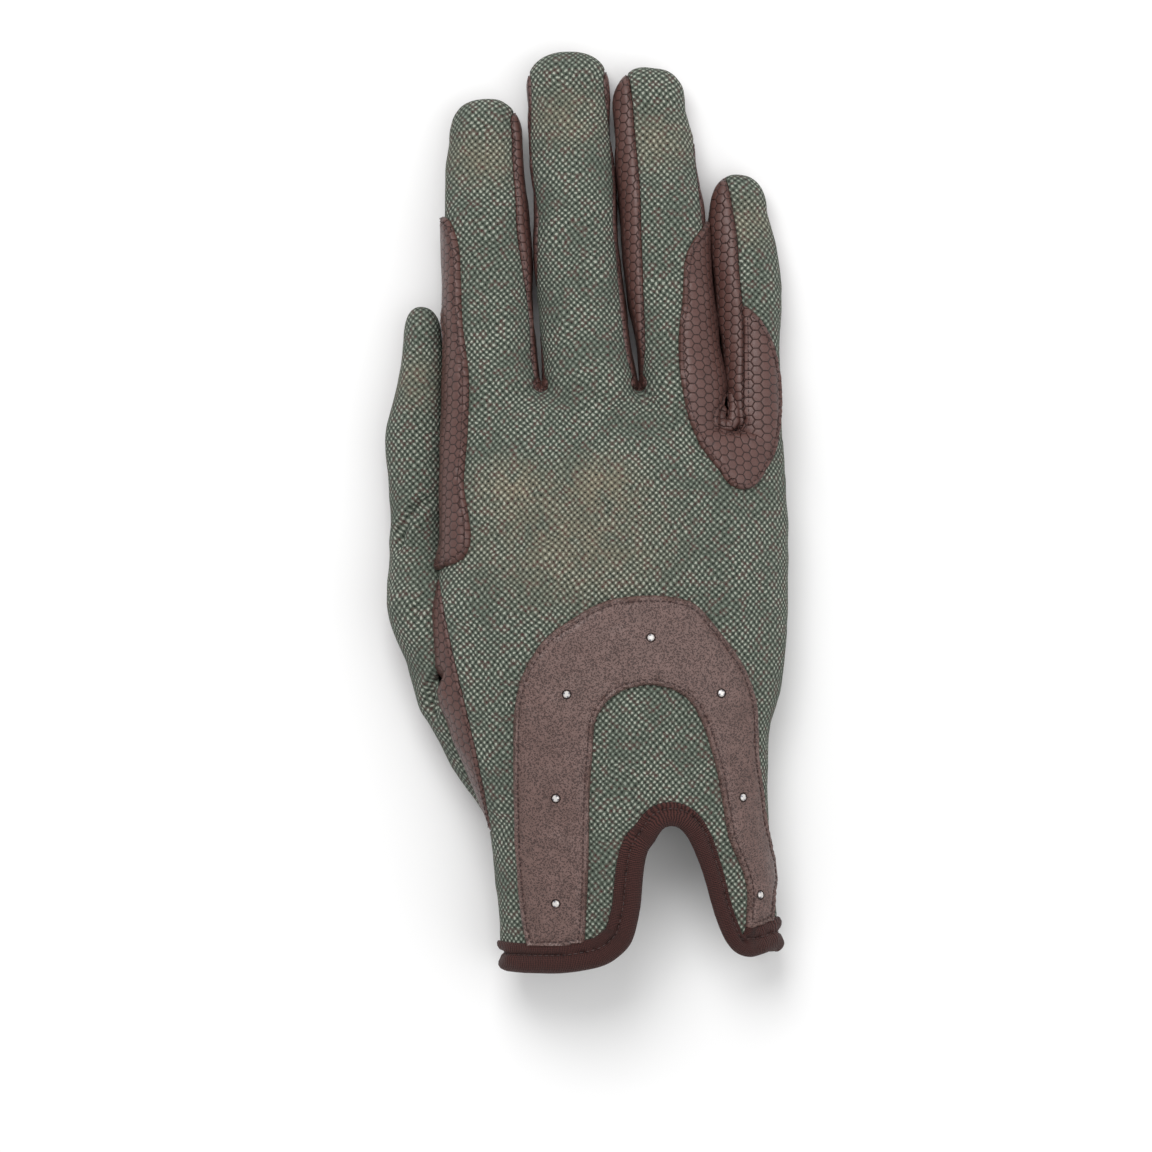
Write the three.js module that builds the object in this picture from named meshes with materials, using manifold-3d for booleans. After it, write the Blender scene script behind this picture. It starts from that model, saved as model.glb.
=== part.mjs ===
// A right-hand riding glove that lies on its palm, back of the hand up and fingers along +Y.
// Millimetres, +Z up. The origin is the middle of the footprint on the surface that the glove lies on.
// The back and the finger backs are knitted mesh, the palm, finger sides and patches are embossed
// leather, a horseshoe of smooth leather with seven stones frames the notch of the cuff, and a tape
// binds the cuff's edge. Every cloth and leather piece is a thin wall round one open hollow.

import * as THREE from "three";
import { mergeVertices } from "three/addons/utils/BufferGeometryUtils.js";
import Module from "manifold-3d";

const wasm = await Module();
wasm.setup();

// Driving dimensions
const palmLength = 145.5; // cuff edge to the web between index and middle finger
const palmWidth = 86; // across the knuckles
const palmDepth = 32; // floor to the back of the hand
const clothWall = 1.4; // mesh and leather walls of the hand
const seamGap = 0.3; // between neighbouring pieces
const patchWall = 1.0; // leather patches on the back
const patchLift = 0.3; // between a patch and the cloth under it
const bindingWidth = 6.2; // tape on each face of the cuff edge
const bindingSwell = 0.8; // how far the tape stands proud of the cloth
const notchWidth = 33; // of the cuff's notch on the back
const notchHeight = 36;
const palmNotchSpread = 3.5; // how much further the palm's notch is cut than the back's
const webReach = 4.5; // leather of a web, to each side of its middle
const webBelow = 4; // leather of a web, towards the cuff
const webAbove = 3; // overlap of a web with the sides of its fingers
const wedgeSwell = 0.4; // how far the cutters of the fingers' sides pass the cloth
const stoneDiameter = 2.3;
const stoneHeight = 1.0;
const stonePocket = 0.6; // how deep a stone's seat is cut into the horseshoe
const stoneSides = 8;
const thumbLength = 131; // tip of the thumb to the end of its seam at the wrist
const thumbDome = 8.7;
const sectionPower = 2.35; // of the superellipse that every cross-section is
const fingerSides = 14;
const palmSides = 24;

// Frame of the glove
const cuffY = -0.79 * palmLength;
const webY = cuffY + palmLength; // web between index and middle finger
const littleWebDrop = 11; // the little finger's web lies this much nearer the cuff
const thumbStartY = cuffY + 0.2435 * palmLength;
const FAR = 400; // past the whole glove, for cutters

// Materials
const meshGreen = { color: 0x5d6b60, roughness: 0.92, metalness: 0 };
const scaleBrown = { color: 0x53403d, roughness: 0.55, metalness: 0 };
const grainBrown = { color: 0x5d4a48, roughness: 0.6, metalness: 0 };
const tapeBrown = { color: 0x37211f, roughness: 0.85, metalness: 0 };
const clearStone = { color: 0xe9edf0, roughness: 0.05, metalness: 0 };

// Cross-sections of the fingers, from inside the palm to where the tip's dome starts. along is a
// share of the finger's length from the web, left and right are shares of its width from its root's
// middle, top and bottom are shares of its depth. root is a share of the palm's width. sideLeft and
// sideRight are the angles about the section's middle, in degrees, where the leather of the finger's
// sides ends and its back begins, at the web and at the tip.
const COLUMNS = ["along", "left", "right", "top", "bottom"];
const fingers = {
  index: {
    length: 72.5, width: 20, depth: 25, root: -0.274, dome: 10, web: webY, sideRight: [24, 46],
    rows: [
      [-0.284, -0.550, 0.550, 1.04, 0.04],
      [-0.001, -0.575, 0.590, 1.00, 0.12],
      [0.103, -0.575, 0.570, 0.94, 0.10],
      [0.199, -0.575, 0.545, 0.89, 0.04],
      [0.406, -0.570, 0.495, 0.81, -0.02],
      [0.599, -0.600, 0.470, 0.76, -0.04],
      [0.737, -0.600, 0.420, 0.66, -0.04],
      [0.848, -0.550, 0.395, 0.58, -0.04],
    ],
  },
  middle: {
    length: 84.5, width: 21, depth: 26, root: -0.035, dome: 10, web: webY,
    sideLeft: [157, 157], sideRight: [24, 30],
    rows: [
      [-0.267, -0.381, 0.762, 1.06, -0.04],
      [-0.001, -0.376, 0.748, 1.02, -0.02],
      [0.112, -0.400, 0.690, 0.98, -0.02],
      [0.260, -0.448, 0.600, 0.89, -0.02],
      [0.437, -0.481, 0.519, 0.82, -0.03],
      [0.556, -0.495, 0.495, 0.78, -0.03],
      [0.674, -0.552, 0.457, 0.68, -0.03],
      [0.792, -0.567, 0.424, 0.59, -0.03],
      [0.881, -0.557, 0.419, 0.54, -0.03],
    ],
  },
  ring: {
    length: 80.5, width: 20, depth: 25, root: 0.233, dome: 11, web: webY,
    sideLeft: [140, 120], sideRight: [24, 24],
    rows: [
      [-0.330, -0.250, 0.725, 1.05, -0.04],
      [-0.001, -0.320, 0.695, 1.00, -0.03],
      [0.117, -0.380, 0.630, 0.94, -0.03],
      [0.273, -0.480, 0.555, 0.86, -0.03],
      [0.459, -0.565, 0.495, 0.80, -0.04],
      [0.583, -0.590, 0.455, 0.76, -0.04],
      [0.738, -0.635, 0.365, 0.63, -0.04],
      [0.863, -0.670, 0.245, 0.54, -0.04],
    ],
  },
  little: {
    length: 65, width: 16, depth: 20, root: 0.477, dome: 9.5, web: webY - littleWebDrop,
    sideLeft: [104, 96],
    rows: [
      [-0.270, -0.250, 0.519, 1.02, -0.05],
      [-0.001, -0.337, 0.500, 1.01, -0.04],
      [0.161, -0.400, 0.462, 0.95, -0.04],
      [0.315, -0.469, 0.475, 0.89, -0.04],
      [0.468, -0.550, 0.481, 0.83, -0.04],
      [0.622, -0.606, 0.450, 0.79, -0.04],
      [0.776, -0.650, 0.350, 0.68, -0.04],
      [0.853, -0.631, 0.275, 0.62, -0.04],
    ],
  },
};

// The palm: along is a share of its length from the cuff edge, left and right are shares of its
// width, top and bottom are shares of its depth.
const palmTilt = -0.075; // the little finger's side lies lower than the index's
const palmRows = [
  [-0.028, -0.237, 0.560, 0.89, -0.04],
  [0.048, -0.249, 0.558, 0.91, -0.05],
  [0.120, -0.257, 0.548, 0.94, -0.05],
  [0.192, -0.269, 0.535, 0.96, -0.05],
  [0.249, -0.283, 0.528, 0.97, -0.05],
  [0.292, -0.309, 0.526, 0.97, -0.05],
  [0.395, -0.390, 0.530, 1.00, -0.05],
  [0.481, -0.435, 0.562, 1.02, -0.05],
  [0.601, -0.453, 0.583, 1.02, -0.05],
  [0.677, -0.427, 0.586, 1.01, -0.05],
  [0.738, -0.412, 0.586, 0.99, -0.05],
  [0.842, -0.408, 0.578, 0.95, -0.05],
  [0.907, -0.408, 0.571, 0.88, -0.03],
  [0.931, -0.407, 0.390, 0.84, -0.02],
  [0.955, -0.405, 0.360, 0.79, 0.05],
  [0.982, -0.384, 0.326, 0.67, 0.14],
  [1.000, -0.349, 0.279, 0.47, 0.25],
];

// The thumb, which lies beside the palm: along is a share of its length from the wrist end of its
// seam, left and right are shares of the palm's width, top and bottom are shares of its depth.
const thumbRows = [
  [0.006, -0.279, -0.140, 0.38, 0.12],
  [0.053, -0.326, -0.140, 0.53, 0.05],
  [0.130, -0.402, -0.163, 0.64, -0.03],
  [0.225, -0.478, -0.209, 0.70, -0.03],
  [0.321, -0.528, -0.267, 0.73, -0.03],
  [0.378, -0.563, -0.314, 0.73, -0.03],
  [0.435, -0.580, -0.349, 0.70, -0.03],
  [0.511, -0.574, -0.398, 0.58, -0.03],
  [0.569, -0.571, -0.407, 0.54, -0.03],
  [0.645, -0.577, -0.409, 0.52, -0.03],
  [0.740, -0.586, -0.409, 0.51, -0.03],
  [0.817, -0.563, -0.409, 0.51, -0.03],
  [0.874, -0.544, -0.414, 0.47, -0.03],
  [0.931, -0.534, -0.422, 0.42, -0.03],
];

// Seams that run round the glove's sides. along is a share of the palm's length from the cuff edge,
// left and right are the seam's heights one palm width to the left and right of the hand's middle,
// as shares of the palm's depth.
const SEAM_COLUMNS = ["along", "left", "right"];
const palmSeam = [
  [-0.10, 0.52, 0.05], [0.25, 0.52, 0.05], [0.55, 0.54, 0.055], [0.907, 0.57, 0.06],
  [1.00, 0.33, 0.15], [1.20, 0.22, 0.175], [1.65, 0.14, 0.14],
];
const thumbSeam = [
  [-0.10, 0.25, 0.25], [0.25, 0.25, 0.25], [0.45, 0.30, 0.30], [0.60, 0.29, 0.29],
  [0.75, 0.22, 0.22], [0.95, 0.19, 0.19], [1.20, 0.15, 0.15],
];
const guardHem = [
  [-0.10, 0.455, 0.455], [1.09, 0.455, 0.455], [1.16, 0.24, 0.24], [1.33, 0.13, 0.13],
];
const crotchHem = [
  [-0.10, 0.60, 0.60], [1.65, 0.60, 0.60],
];
const reinHem = [
  [-0.10, 0.42, 0.42], [1.65, 0.42, 0.42],
];
const horseshoeHem = [
  [-0.10, 0.40, 0.40], [1.65, 0.40, 0.40],
];

// Outlines seen from above: across is a share of the palm's width from the hand's middle line, up is
// a share of the palm's length from the cuff edge.
const guardOutline = [
  [-0.417, 1.300], [-0.391, 1.275], [-0.373, 1.245], [-0.367, 1.151], [-0.356, 1.065],
  [-0.348, 0.979], [-0.353, 0.893], [-0.350, 0.807], [-0.336, 0.738], [-0.344, 0.716],
  [-0.383, 0.699], [-0.435, 0.678], [-0.535, 0.678], [-0.535, 1.300],
];
const gussetOutline = [
  [-0.412, 0.683], [-0.391, 0.601], [-0.362, 0.498], [-0.327, 0.412], [-0.295, 0.326],
  [-0.274, 0.266], [-0.270, 0.240], [-0.535, 0.240], [-0.535, 0.683],
];
const reinOutline = [
  [0.344, 1.263], [0.307, 1.211], [0.284, 1.134], [0.278, 1.048], [0.301, 0.962],
  [0.350, 0.885], [0.412, 0.842], [0.470, 0.828], [0.522, 0.845], [0.545, 0.893],
  [0.553, 0.962], [0.551, 1.031], [0.528, 1.074], [0.495, 1.108], [0.466, 1.130],
  [0.464, 1.099], [0.464, 1.013], [0.470, 0.953], [0.460, 0.915], [0.423, 0.902],
  [0.388, 0.915], [0.384, 0.941], [0.377, 1.013], [0.360, 1.116], [0.353, 1.220],
];
// The horseshoe's middle line from its left foot round to its right one, with its half width as a
// share of the palm's width.
const horseshoeLine = [
  [-0.094, 0.030, 0.080], [-0.106, 0.171, 0.095], [-0.109, 0.309, 0.099], [-0.103, 0.429, 0.100],
  [-0.052, 0.524, 0.112], [0.050, 0.560, 0.120], [0.170, 0.568, 0.119], [0.300, 0.545, 0.105],
  [0.390, 0.470, 0.080], [0.433, 0.343, 0.063], [0.459, 0.223, 0.048], [0.495, 0.128, 0.032],
  [0.511, 0.060, 0.028],
];
const stonePlaces = [
  [-0.088, 0.120], [-0.088, 0.299], [-0.057, 0.476], [0.185, 0.572], [0.388, 0.477],
  [0.452, 0.299], [0.503, 0.132],
];

// The cuff's free edge from left to right. across is a share of the notch's half width from the
// notch's middle, up is a share of its height.
const notchMiddle = 0.244; // share of the palm's width
const notchPoints = [
  [-1.673, 0.000], [-1.145, 0.040], [-0.794, 0.137], [-0.570, 0.290], [-0.448, 0.485],
  [-0.388, 0.693], [-0.309, 0.865], [-0.127, 0.965], [0.065, 0.990], [0.290, 0.890],
  [0.490, 0.680], [0.645, 0.440], [0.800, 0.245], [1.040, 0.120], [1.327, 0.085], [1.582, 0.100],
];
const sideHeight = 0.44 * palmDepth; // where the back's edge meets the palm's

// Solids

/** The manifold-3d solid of a closed three.js geometry. */
function solidOf(geometry) {
  const bare = geometry.clone();
  bare.deleteAttribute("normal");
  bare.deleteAttribute("uv");
  const merged = mergeVertices(bare, 1e-4);
  return new wasm.Manifold(
    new wasm.Mesh({
      numProp: 3,
      vertProperties: merged.attributes.position.array,
      triVerts: new Uint32Array(merged.index.array),
    }),
  );
}

/** The three.js geometry of a manifold-3d solid. */
function geometryOf(solid) {
  const mesh = solid.getMesh();
  const geometry = new THREE.BufferGeometry();
  geometry.setAttribute("position", new THREE.BufferAttribute(mesh.vertProperties, 3));
  geometry.setIndex(new THREE.BufferAttribute(mesh.triVerts, 1));
  geometry.computeVertexNormals();
  return geometry;
}

/** The solid through rings of [x, y, z] points, each ring further along +Y than the last. */
function loft(rings) {
  const count = rings[0].length;
  const triangles = [];
  for (let start = 0; start + count < rings.length * count; start += count) {
    for (let i = 0; i < count; i++) {
      const here = start + i;
      const beside = start + ((i + 1) % count);
      triangles.push(here, here + count, beside, beside, here + count, beside + count);
    }
  }
  const last = (rings.length - 1) * count;
  for (let i = 1; i + 1 < count; i++) {
    triangles.push(0, i, i + 1, last, last + i + 1, last + i);
  }
  const geometry = new THREE.BufferGeometry();
  geometry.setAttribute("position", new THREE.Float32BufferAttribute(rings.flat(2), 3));
  geometry.setIndex(triangles);
  return solidOf(geometry);
}

/** A vertical prism over an outline of [x, y] points, between two heights. */
function prism(outline, low, high) {
  const shape = new THREE.Shape(outline.map(([x, y]) => new THREE.Vector2(x, y)));
  const geometry = new THREE.ExtrudeGeometry(shape, { depth: high - low, bevelEnabled: false });
  geometry.translate(0, 0, low);
  return solidOf(geometry);
}

const join = (solids) => solids.reduce((sum, solid) => sum.add(solid));

/** The largest body of a cut solid, without the slivers that a cut can leave beside it. */
const mainBody = (solid) =>
  solid.asOriginal().simplify(0.05).decompose().reduce((a, b) => (b.volume() > a.volume() ? b : a));

// Cross-sections

/** Rows of numbers as objects with named columns. */
const table = (columns, rows) =>
  rows.map((row) => Object.fromEntries(columns.map((column, i) => [column, row[i]])));

/** A cross-section from the edges of its box. */
function section(y, left, right, top, bottom, tilt) {
  return {
    x: (left + right) / 2, y, z: (top + bottom) / 2,
    half: (right - left) / 2, rise: (top - bottom) / 2, tilt, keep: 1, reach: 0,
  };
}

/** The point of a cross-section at an angle about its middle, pushed outwards by grow. */
function sectionPoint(at, angle, grow) {
  const bend = (value) => Math.sign(value) * Math.abs(value) ** (2 / sectionPower);
  const x = (at.half + grow) * at.keep * bend(Math.cos(angle));
  const z = (at.rise + grow) * at.keep * bend(Math.sin(angle));
  return [at.x + x, at.y + at.reach * grow, at.z + z + at.tilt * x];
}

/** Cross-sections closed by a dome that ends a distance beyond the last of them. */
function domed(sections, dome) {
  const last = sections[sections.length - 1];
  const cap = [25, 48, 68, 84].map((degrees) => {
    const angle = THREE.MathUtils.degToRad(degrees);
    const keep = Math.cos(angle) ** 0.85;
    return {
      ...last, keep, reach: Math.sin(angle), y: last.y + dome * Math.sin(angle),
      z: last.z - (1 - keep) * last.rise * 0.25,
    };
  });
  return [...sections, ...cap];
}

/** The loft of cross-sections grown by an offset and flattened where it lies on the floor. */
function formOf(sections, sides, grow) {
  const turn = (2 * Math.PI) / sides;
  const rings = sections.map((at) =>
    Array.from({ length: sides }, (_, i) => sectionPoint(at, (i + 0.5) * turn, grow)),
  );
  return loft(rings).trimByPlane([0, 0, 1], Math.max(0, -grow));
}

const palmSections = table(COLUMNS, palmRows).map(({ along, left, right, top, bottom }) =>
  section(cuffY + along * palmLength, left * palmWidth, right * palmWidth,
    top * palmDepth, bottom * palmDepth, palmTilt),
);

const thumbSections = domed(
  table(COLUMNS, thumbRows).map(({ along, left, right, top, bottom }) =>
    section(thumbStartY + along * thumbLength, left * palmWidth, right * palmWidth,
      top * palmDepth, bottom * palmDepth, 0),
  ),
  thumbDome,
);

/** The cross-sections of a finger's shaft, up to its dome. */
const shaftOf = ({ rows, web, length, root, width, depth }) =>
  table(COLUMNS, rows).map(({ along, left, right, top, bottom }) =>
    section(web + along * length, root * palmWidth + left * width, root * palmWidth + right * width,
      top * depth, bottom * depth, 0),
  );

/** The hand without its thumb, grown by an offset. */
const handForm = (grow) =>
  join([
    formOf(palmSections, palmSides, grow),
    ...Object.values(fingers).map((finger) =>
      formOf(domed(shaftOf(finger), finger.dome), fingerSides, grow),
    ),
  ]);

const thumbForm = (grow) => formOf(thumbSections, fingerSides, grow);

/** Everything below a seam that is raised by a distance. */
function below(seam, raised) {
  const rings = table(SEAM_COLUMNS, seam).map(({ along, left, right }) => {
    const y = cuffY + along * palmLength;
    return [
      [-palmWidth, y, -palmDepth], [palmWidth, y, -palmDepth],
      [palmWidth, y, right * palmDepth + raised], [-palmWidth, y, left * palmDepth + raised],
    ];
  });
  return loft(rings);
}

// Outlines

const onHand = ([across, up]) => [across * palmWidth, cuffY + up * palmLength];

/** Evenly spaced points of a smooth line through a few chosen ones. */
function smooth(points, count, closed) {
  const curve = new THREE.CatmullRomCurve3(
    points.map(([x, y, z = 0]) => new THREE.Vector3(x, y, z)), closed, "centripetal",
  );
  const spaced = curve.getSpacedPoints(count).map((p) => p.toArray());
  return closed ? spaced.slice(0, count) : spaced;
}

/** An open line moved to its left, by a distance or by one for each point. */
function parallel(points, distance) {
  return points.map(([x, y], i) => {
    const [ax, ay] = points[Math.max(0, i - 1)];
    const [bx, by] = points[Math.min(points.length - 1, i + 1)];
    const share = (Array.isArray(distance) ? distance[i] : distance) / Math.hypot(bx - ax, by - ay);
    return [x - (by - ay) * share, y + (bx - ax) * share];
  });
}

/** The cuff's free edge from left to right, with its notch opened further by a spread. */
function cuffEdge(spread) {
  const notch = notchPoints.map(([across, up]) => [
    notchMiddle * palmWidth + across * (notchWidth / 2 + spread),
    cuffY + up * (notchHeight + spread),
  ]);
  const line = smooth(notch, 44, false);
  const [, leftY] = line[0];
  const [, rightY] = line[line.length - 1];
  return [[-palmWidth, leftY], ...line, [palmWidth, rightY]];
}

/** The part of space within a distance of the cuff's edge, or beyond that edge. */
function cuffZone(distance) {
  const zone = (edge, low, high) =>
    prism([...parallel(edge, distance), [palmWidth, -FAR], [-palmWidth, -FAR]], low, high);
  return zone(cuffEdge(0), sideHeight - 0.01, FAR).add(zone(cuffEdge(palmNotchSpread), -FAR, sideHeight));
}

// The hand's cloth and leather: one wall, cut into panels

const handOuter = handForm(0);
const thumbHollow = thumbForm(-clothWall);
const wall = handOuter
  .subtract(handForm(-clothWall))
  .subtract(cuffZone(bindingWidth + seamGap))
  .subtract(thumbHollow);
const palmSide = wall.intersect(below(palmSeam, -seamGap / 2));
const backSide = wall.subtract(below(palmSeam, seamGap / 2));

/** The wedge of a finger that holds the leather of one of its sides. */
function sideWedge(finger, side, widen) {
  const degrees = THREE.MathUtils.radToDeg((widen * 1.4) / (finger.width / 2));
  const span = ({ y }) => {
    const along = Math.max(0, (y - finger.web) / finger.length);
    return side === "left"
      ? [THREE.MathUtils.lerp(...finger.sideLeft, along) - degrees, 250]
      : [-70, THREE.MathUtils.lerp(...finger.sideRight, along) + degrees];
  };
  const start = finger.web - webAbove - widen;
  const shaft = shaftOf(finger);
  const first = shaft.findIndex(({ y }) => y > start) - 1;
  const share = (start - shaft[first].y) / (shaft[first + 1].y - shaft[first].y);
  const blend = (a, b) => a + (b - a) * share;
  const cut = Object.fromEntries(
    Object.entries(shaft[first]).map(([key, value]) => [key, blend(value, shaft[first + 1][key])]),
  );
  const sections = [cut, ...shaft.slice(first + 1)];
  if (widen) {
    const last = shaft[shaft.length - 1];
    sections.push({ ...last, y: last.y + widen });
  }
  const steps = 8;
  return loft(
    sections.map((at) => {
      const [from, to] = span(at).map(THREE.MathUtils.degToRad);
      const arc = Array.from({ length: steps + 1 }, (_, i) =>
        sectionPoint(at, from + ((to - from) * i) / steps, wedgeSwell + widen),
      );
      return [[at.x, at.y, at.z], ...arc];
    }),
  );
}

/** Where a finger's side is at its web. */
const edgeAtWeb = ({ rows, root, width }, side) =>
  root * palmWidth + width * table(COLUMNS, rows)[1][side];

/** The leather between two fingers: a side of each and the web that joins them. */
function betweenFingers(leftName, rightName, widen) {
  const [a, b] = [fingers[leftName], fingers[rightName]];
  const web = Math.min(a.web, b.web);
  const middle = (edgeAtWeb(a, "right") + edgeAtWeb(b, "left")) / 2;
  const reach = webReach + widen;
  const [low, high] = [web - webBelow - widen, web + webAbove];
  const block = prism(
    [[middle - reach, low], [middle + reach, low], [middle + reach, high], [middle - reach, high]],
    -palmDepth, palmDepth,
  ).intersect(below(crotchHem, widen));
  return join([sideWedge(a, "right", widen), sideWedge(b, "left", widen), block]);
}

const fingerPairs = [["index", "middle"], ["middle", "ring"], ["ring", "little"]];

/** The prism over the thumb's gusset, widened by a distance. */
function gussetPrism(widen) {
  const corners = gussetOutline.map(onHand);
  const inner = smooth(corners.slice(0, 7), 24, false);
  inner[0][1] += widen;
  inner[inner.length - 1][1] -= widen;
  const outer = corners.slice(7).map(([x], i) => [x, i ? inner[0][1] : inner[inner.length - 1][1]]);
  return prism([...parallel(inner, widen), ...outer], 0, palmDepth * 2);
}

const panels = {
  palm_panel: palmSide,
  back_panel: backSide
    .subtract(gussetPrism(seamGap))
    .subtract(join(fingerPairs.map(([a, b]) => betweenFingers(a, b, seamGap)))),
  thumb_gusset: backSide.intersect(gussetPrism(0)),
};
for (const [a, b] of fingerPairs) {
  panels[`fourchette_${a}_${b}`] = backSide.intersect(betweenFingers(a, b, 0));
}

const thumbWall = thumbForm(0).subtract(thumbHollow).subtract(handForm(seamGap));
panels.thumb_palm = thumbWall.intersect(below(thumbSeam, -seamGap / 2));
panels.thumb_back = thumbWall.subtract(below(thumbSeam, seamGap / 2));

// Leather laid over the back

const patchSkin = handForm(patchLift + patchWall).subtract(handForm(patchLift));

/** A patch of the back's leather over an outline, above a hem. */
const patch = (outline, hem) =>
  patchSkin.intersect(prism(outline, 0, palmDepth * 2)).subtract(below(hem, 0));

const line = smooth(
  horseshoeLine.map(([across, up, half]) => [...onHand([across, up]), half * palmWidth]),
  36,
  false,
);
const halves = line.map(([, , half]) => half);
const horseshoeOutline = [
  ...parallel(line, halves),
  ...parallel(line, halves.map((half) => -half)).reverse(),
];
panels.index_guard = patch(guardOutline.map(onHand), guardHem).subtract(thumbForm(patchLift));
panels.rein_patch = patch(smooth(reinOutline.map(onHand), 60, true), reinHem);
panels.horseshoe = patch(horseshoeOutline, horseshoeHem).subtract(cuffZone(bindingWidth + seamGap));

// The tape round the cuff's edge
panels.cuff_binding = handForm(bindingSwell)
  .subtract(handForm(-clothWall - bindingSwell))
  .intersect(cuffZone(bindingWidth))
  .subtract(cuffZone(0));

// Stones, each in a pocket of the horseshoe

/** A faceted stone with a flat back, a girdle, a crown and a table, standing on the origin along +Z. */
function stoneGeometry() {
  const radius = stoneDiameter / 2;
  const profile = [
    [0, 0], [radius * 0.9, 0], [radius, stoneHeight * 0.3], [radius, stoneHeight * 0.4],
    [radius * 0.55, stoneHeight], [0, stoneHeight],
  ];
  const points = profile.map(([r, z]) => new THREE.Vector2(r, z));
  return new THREE.LatheGeometry(points, stoneSides).rotateX(Math.PI / 2);
}

/** A pocket cutter round a stone that stands on the origin along +Z. */
function pocketGeometry() {
  const radius = (stoneDiameter / 2 + seamGap) / Math.cos(Math.PI / stoneSides);
  const points = [[0, -seamGap], [radius, -seamGap], [radius, 2], [0, 2]];
  const profile = points.map(([out, up]) => new THREE.Vector2(out, up));
  return new THREE.LatheGeometry(profile, stoneSides).rotateX(Math.PI / 2);
}

const top = new THREE.Mesh(geometryOf(handForm(patchLift + patchWall)));
const stones = stonePlaces.map((place) => {
  const [x, y] = onHand(place);
  const ray = new THREE.Raycaster(new THREE.Vector3(x, y, FAR), new THREE.Vector3(0, 0, -1));
  const [hit] = ray.intersectObject(top);
  const turn = new THREE.Quaternion().setFromUnitVectors(new THREE.Vector3(0, 0, 1), hit.face.normal);
  const seat = hit.point.clone().addScaledVector(hit.face.normal, seamGap - stonePocket);
  return new THREE.Matrix4().compose(seat, turn, new THREE.Vector3(1, 1, 1));
});
for (const place of stones) {
  panels.horseshoe = panels.horseshoe.subtract(solidOf(pocketGeometry().applyMatrix4(place)));
}

// The glove

const finishes = {
  back_panel: meshGreen, thumb_back: meshGreen, palm_panel: scaleBrown, thumb_palm: scaleBrown,
  thumb_gusset: scaleBrown, index_guard: scaleBrown, rein_patch: scaleBrown,
  fourchette_index_middle: scaleBrown, fourchette_middle_ring: scaleBrown,
  fourchette_ring_little: scaleBrown, horseshoe: grainBrown, cuff_binding: tapeBrown,
};

const glove = new THREE.Group();
glove.name = "riding_glove";

/** Add one named piece with its own material. */
function addPiece(name, geometry, finish) {
  const piece = new THREE.Mesh(geometry, new THREE.MeshStandardMaterial(finish));
  piece.name = name;
  glove.add(piece);
}

for (const [name, solid] of Object.entries(panels)) {
  addPiece(name, geometryOf(mainBody(solid)), finishes[name]);
}
stones.forEach((place, i) => {
  addPiece(`stone_${i + 1}`, geometryOf(solidOf(stoneGeometry().applyMatrix4(place))), clearStone);
});


// Centre the glove's footprint on the origin.
const centre = new THREE.Box3().setFromObject(glove).getCenter(new THREE.Vector3());
for (const piece of glove.children) {
  piece.geometry.translate(-centre.x, -centre.y, 0);
}

export default glove;
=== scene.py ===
"""A right-hand riding glove lying on its palm, dressed for a close photograph.

The form of the glove is a field in millimetres: the palm and the fingers are tubes of
superellipse sections, joined smoothly. The field is polygonised, cut exactly along the seams and
outlines of the real glove, and every panel is thickened into a closed shell of cloth or leather.
"""

from __future__ import annotations

import logging
import math
from dataclasses import dataclass, field
from enum import Enum
from typing import Callable, Sequence

import bpy
import numpy as np
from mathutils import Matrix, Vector
from mathutils.bvhtree import BVHTree
from mathutils.kdtree import KDTree

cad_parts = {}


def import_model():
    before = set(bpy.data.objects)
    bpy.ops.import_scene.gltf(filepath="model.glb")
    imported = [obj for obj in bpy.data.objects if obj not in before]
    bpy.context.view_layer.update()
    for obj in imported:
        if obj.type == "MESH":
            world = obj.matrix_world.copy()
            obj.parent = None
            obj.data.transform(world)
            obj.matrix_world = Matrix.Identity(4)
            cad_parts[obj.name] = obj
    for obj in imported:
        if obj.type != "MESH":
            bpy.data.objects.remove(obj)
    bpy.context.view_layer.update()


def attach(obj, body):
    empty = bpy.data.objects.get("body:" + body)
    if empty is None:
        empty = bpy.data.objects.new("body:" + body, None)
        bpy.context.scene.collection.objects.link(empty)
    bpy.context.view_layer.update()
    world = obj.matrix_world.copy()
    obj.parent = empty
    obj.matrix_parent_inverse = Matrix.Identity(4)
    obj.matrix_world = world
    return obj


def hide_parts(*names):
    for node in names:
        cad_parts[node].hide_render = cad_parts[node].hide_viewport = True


log = logging.getLogger("riding_glove")

MM = 0.001
GRID = 0.8  # mm between samples of the form

CLOTH_WALL = 1.4
POWER = 2.35  # exponent of the superellipse sections
FLOOR_ROUND = 1.5  # how softly the form turns up from the floor
JOIN_ROUND = 3.0  # how softly a finger grows out of the palm
ROOT_DIP = 2.0  # how far a finger's start lies under the palm's surface

# y, left, right, top, bottom, all in mm
INDEX_ROWS = [
    (6, -34.6, -12.6, 25.5, 0.5), (30.5, -35.1, -11.8, 25, 2.5), (38, -35.1, -12.2, 23.5, 2.2),
    (45, -35.1, -12.7, 22.3, 1.0), (60, -35.0, -13.7, 20.2, -0.4), (74, -35.6, -14.2, 19.0, -0.9),
    (84, -35.6, -15.2, 16.4, -0.9), (92, -34.6, -15.7, 14.6, -0.9),
]
MIDDLE_ROWS = [
    (4, -11, 13, 27.0, -1), (30.5, -10.9, 12.7, 26.6, -0.5), (40, -11.4, 11.5, 25.4, -0.5),
    (52.5, -12.4, 9.6, 23.2, -0.6), (67.5, -13.1, 7.9, 21.2, -0.9), (77.5, -13.4, 7.4, 20.4, -0.9),
    (87.5, -14.6, 6.6, 17.6, -0.9), (97.5, -14.9, 5.9, 15.4, -0.9), (105, -14.7, 5.8, 14.0, -0.9),
]
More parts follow.
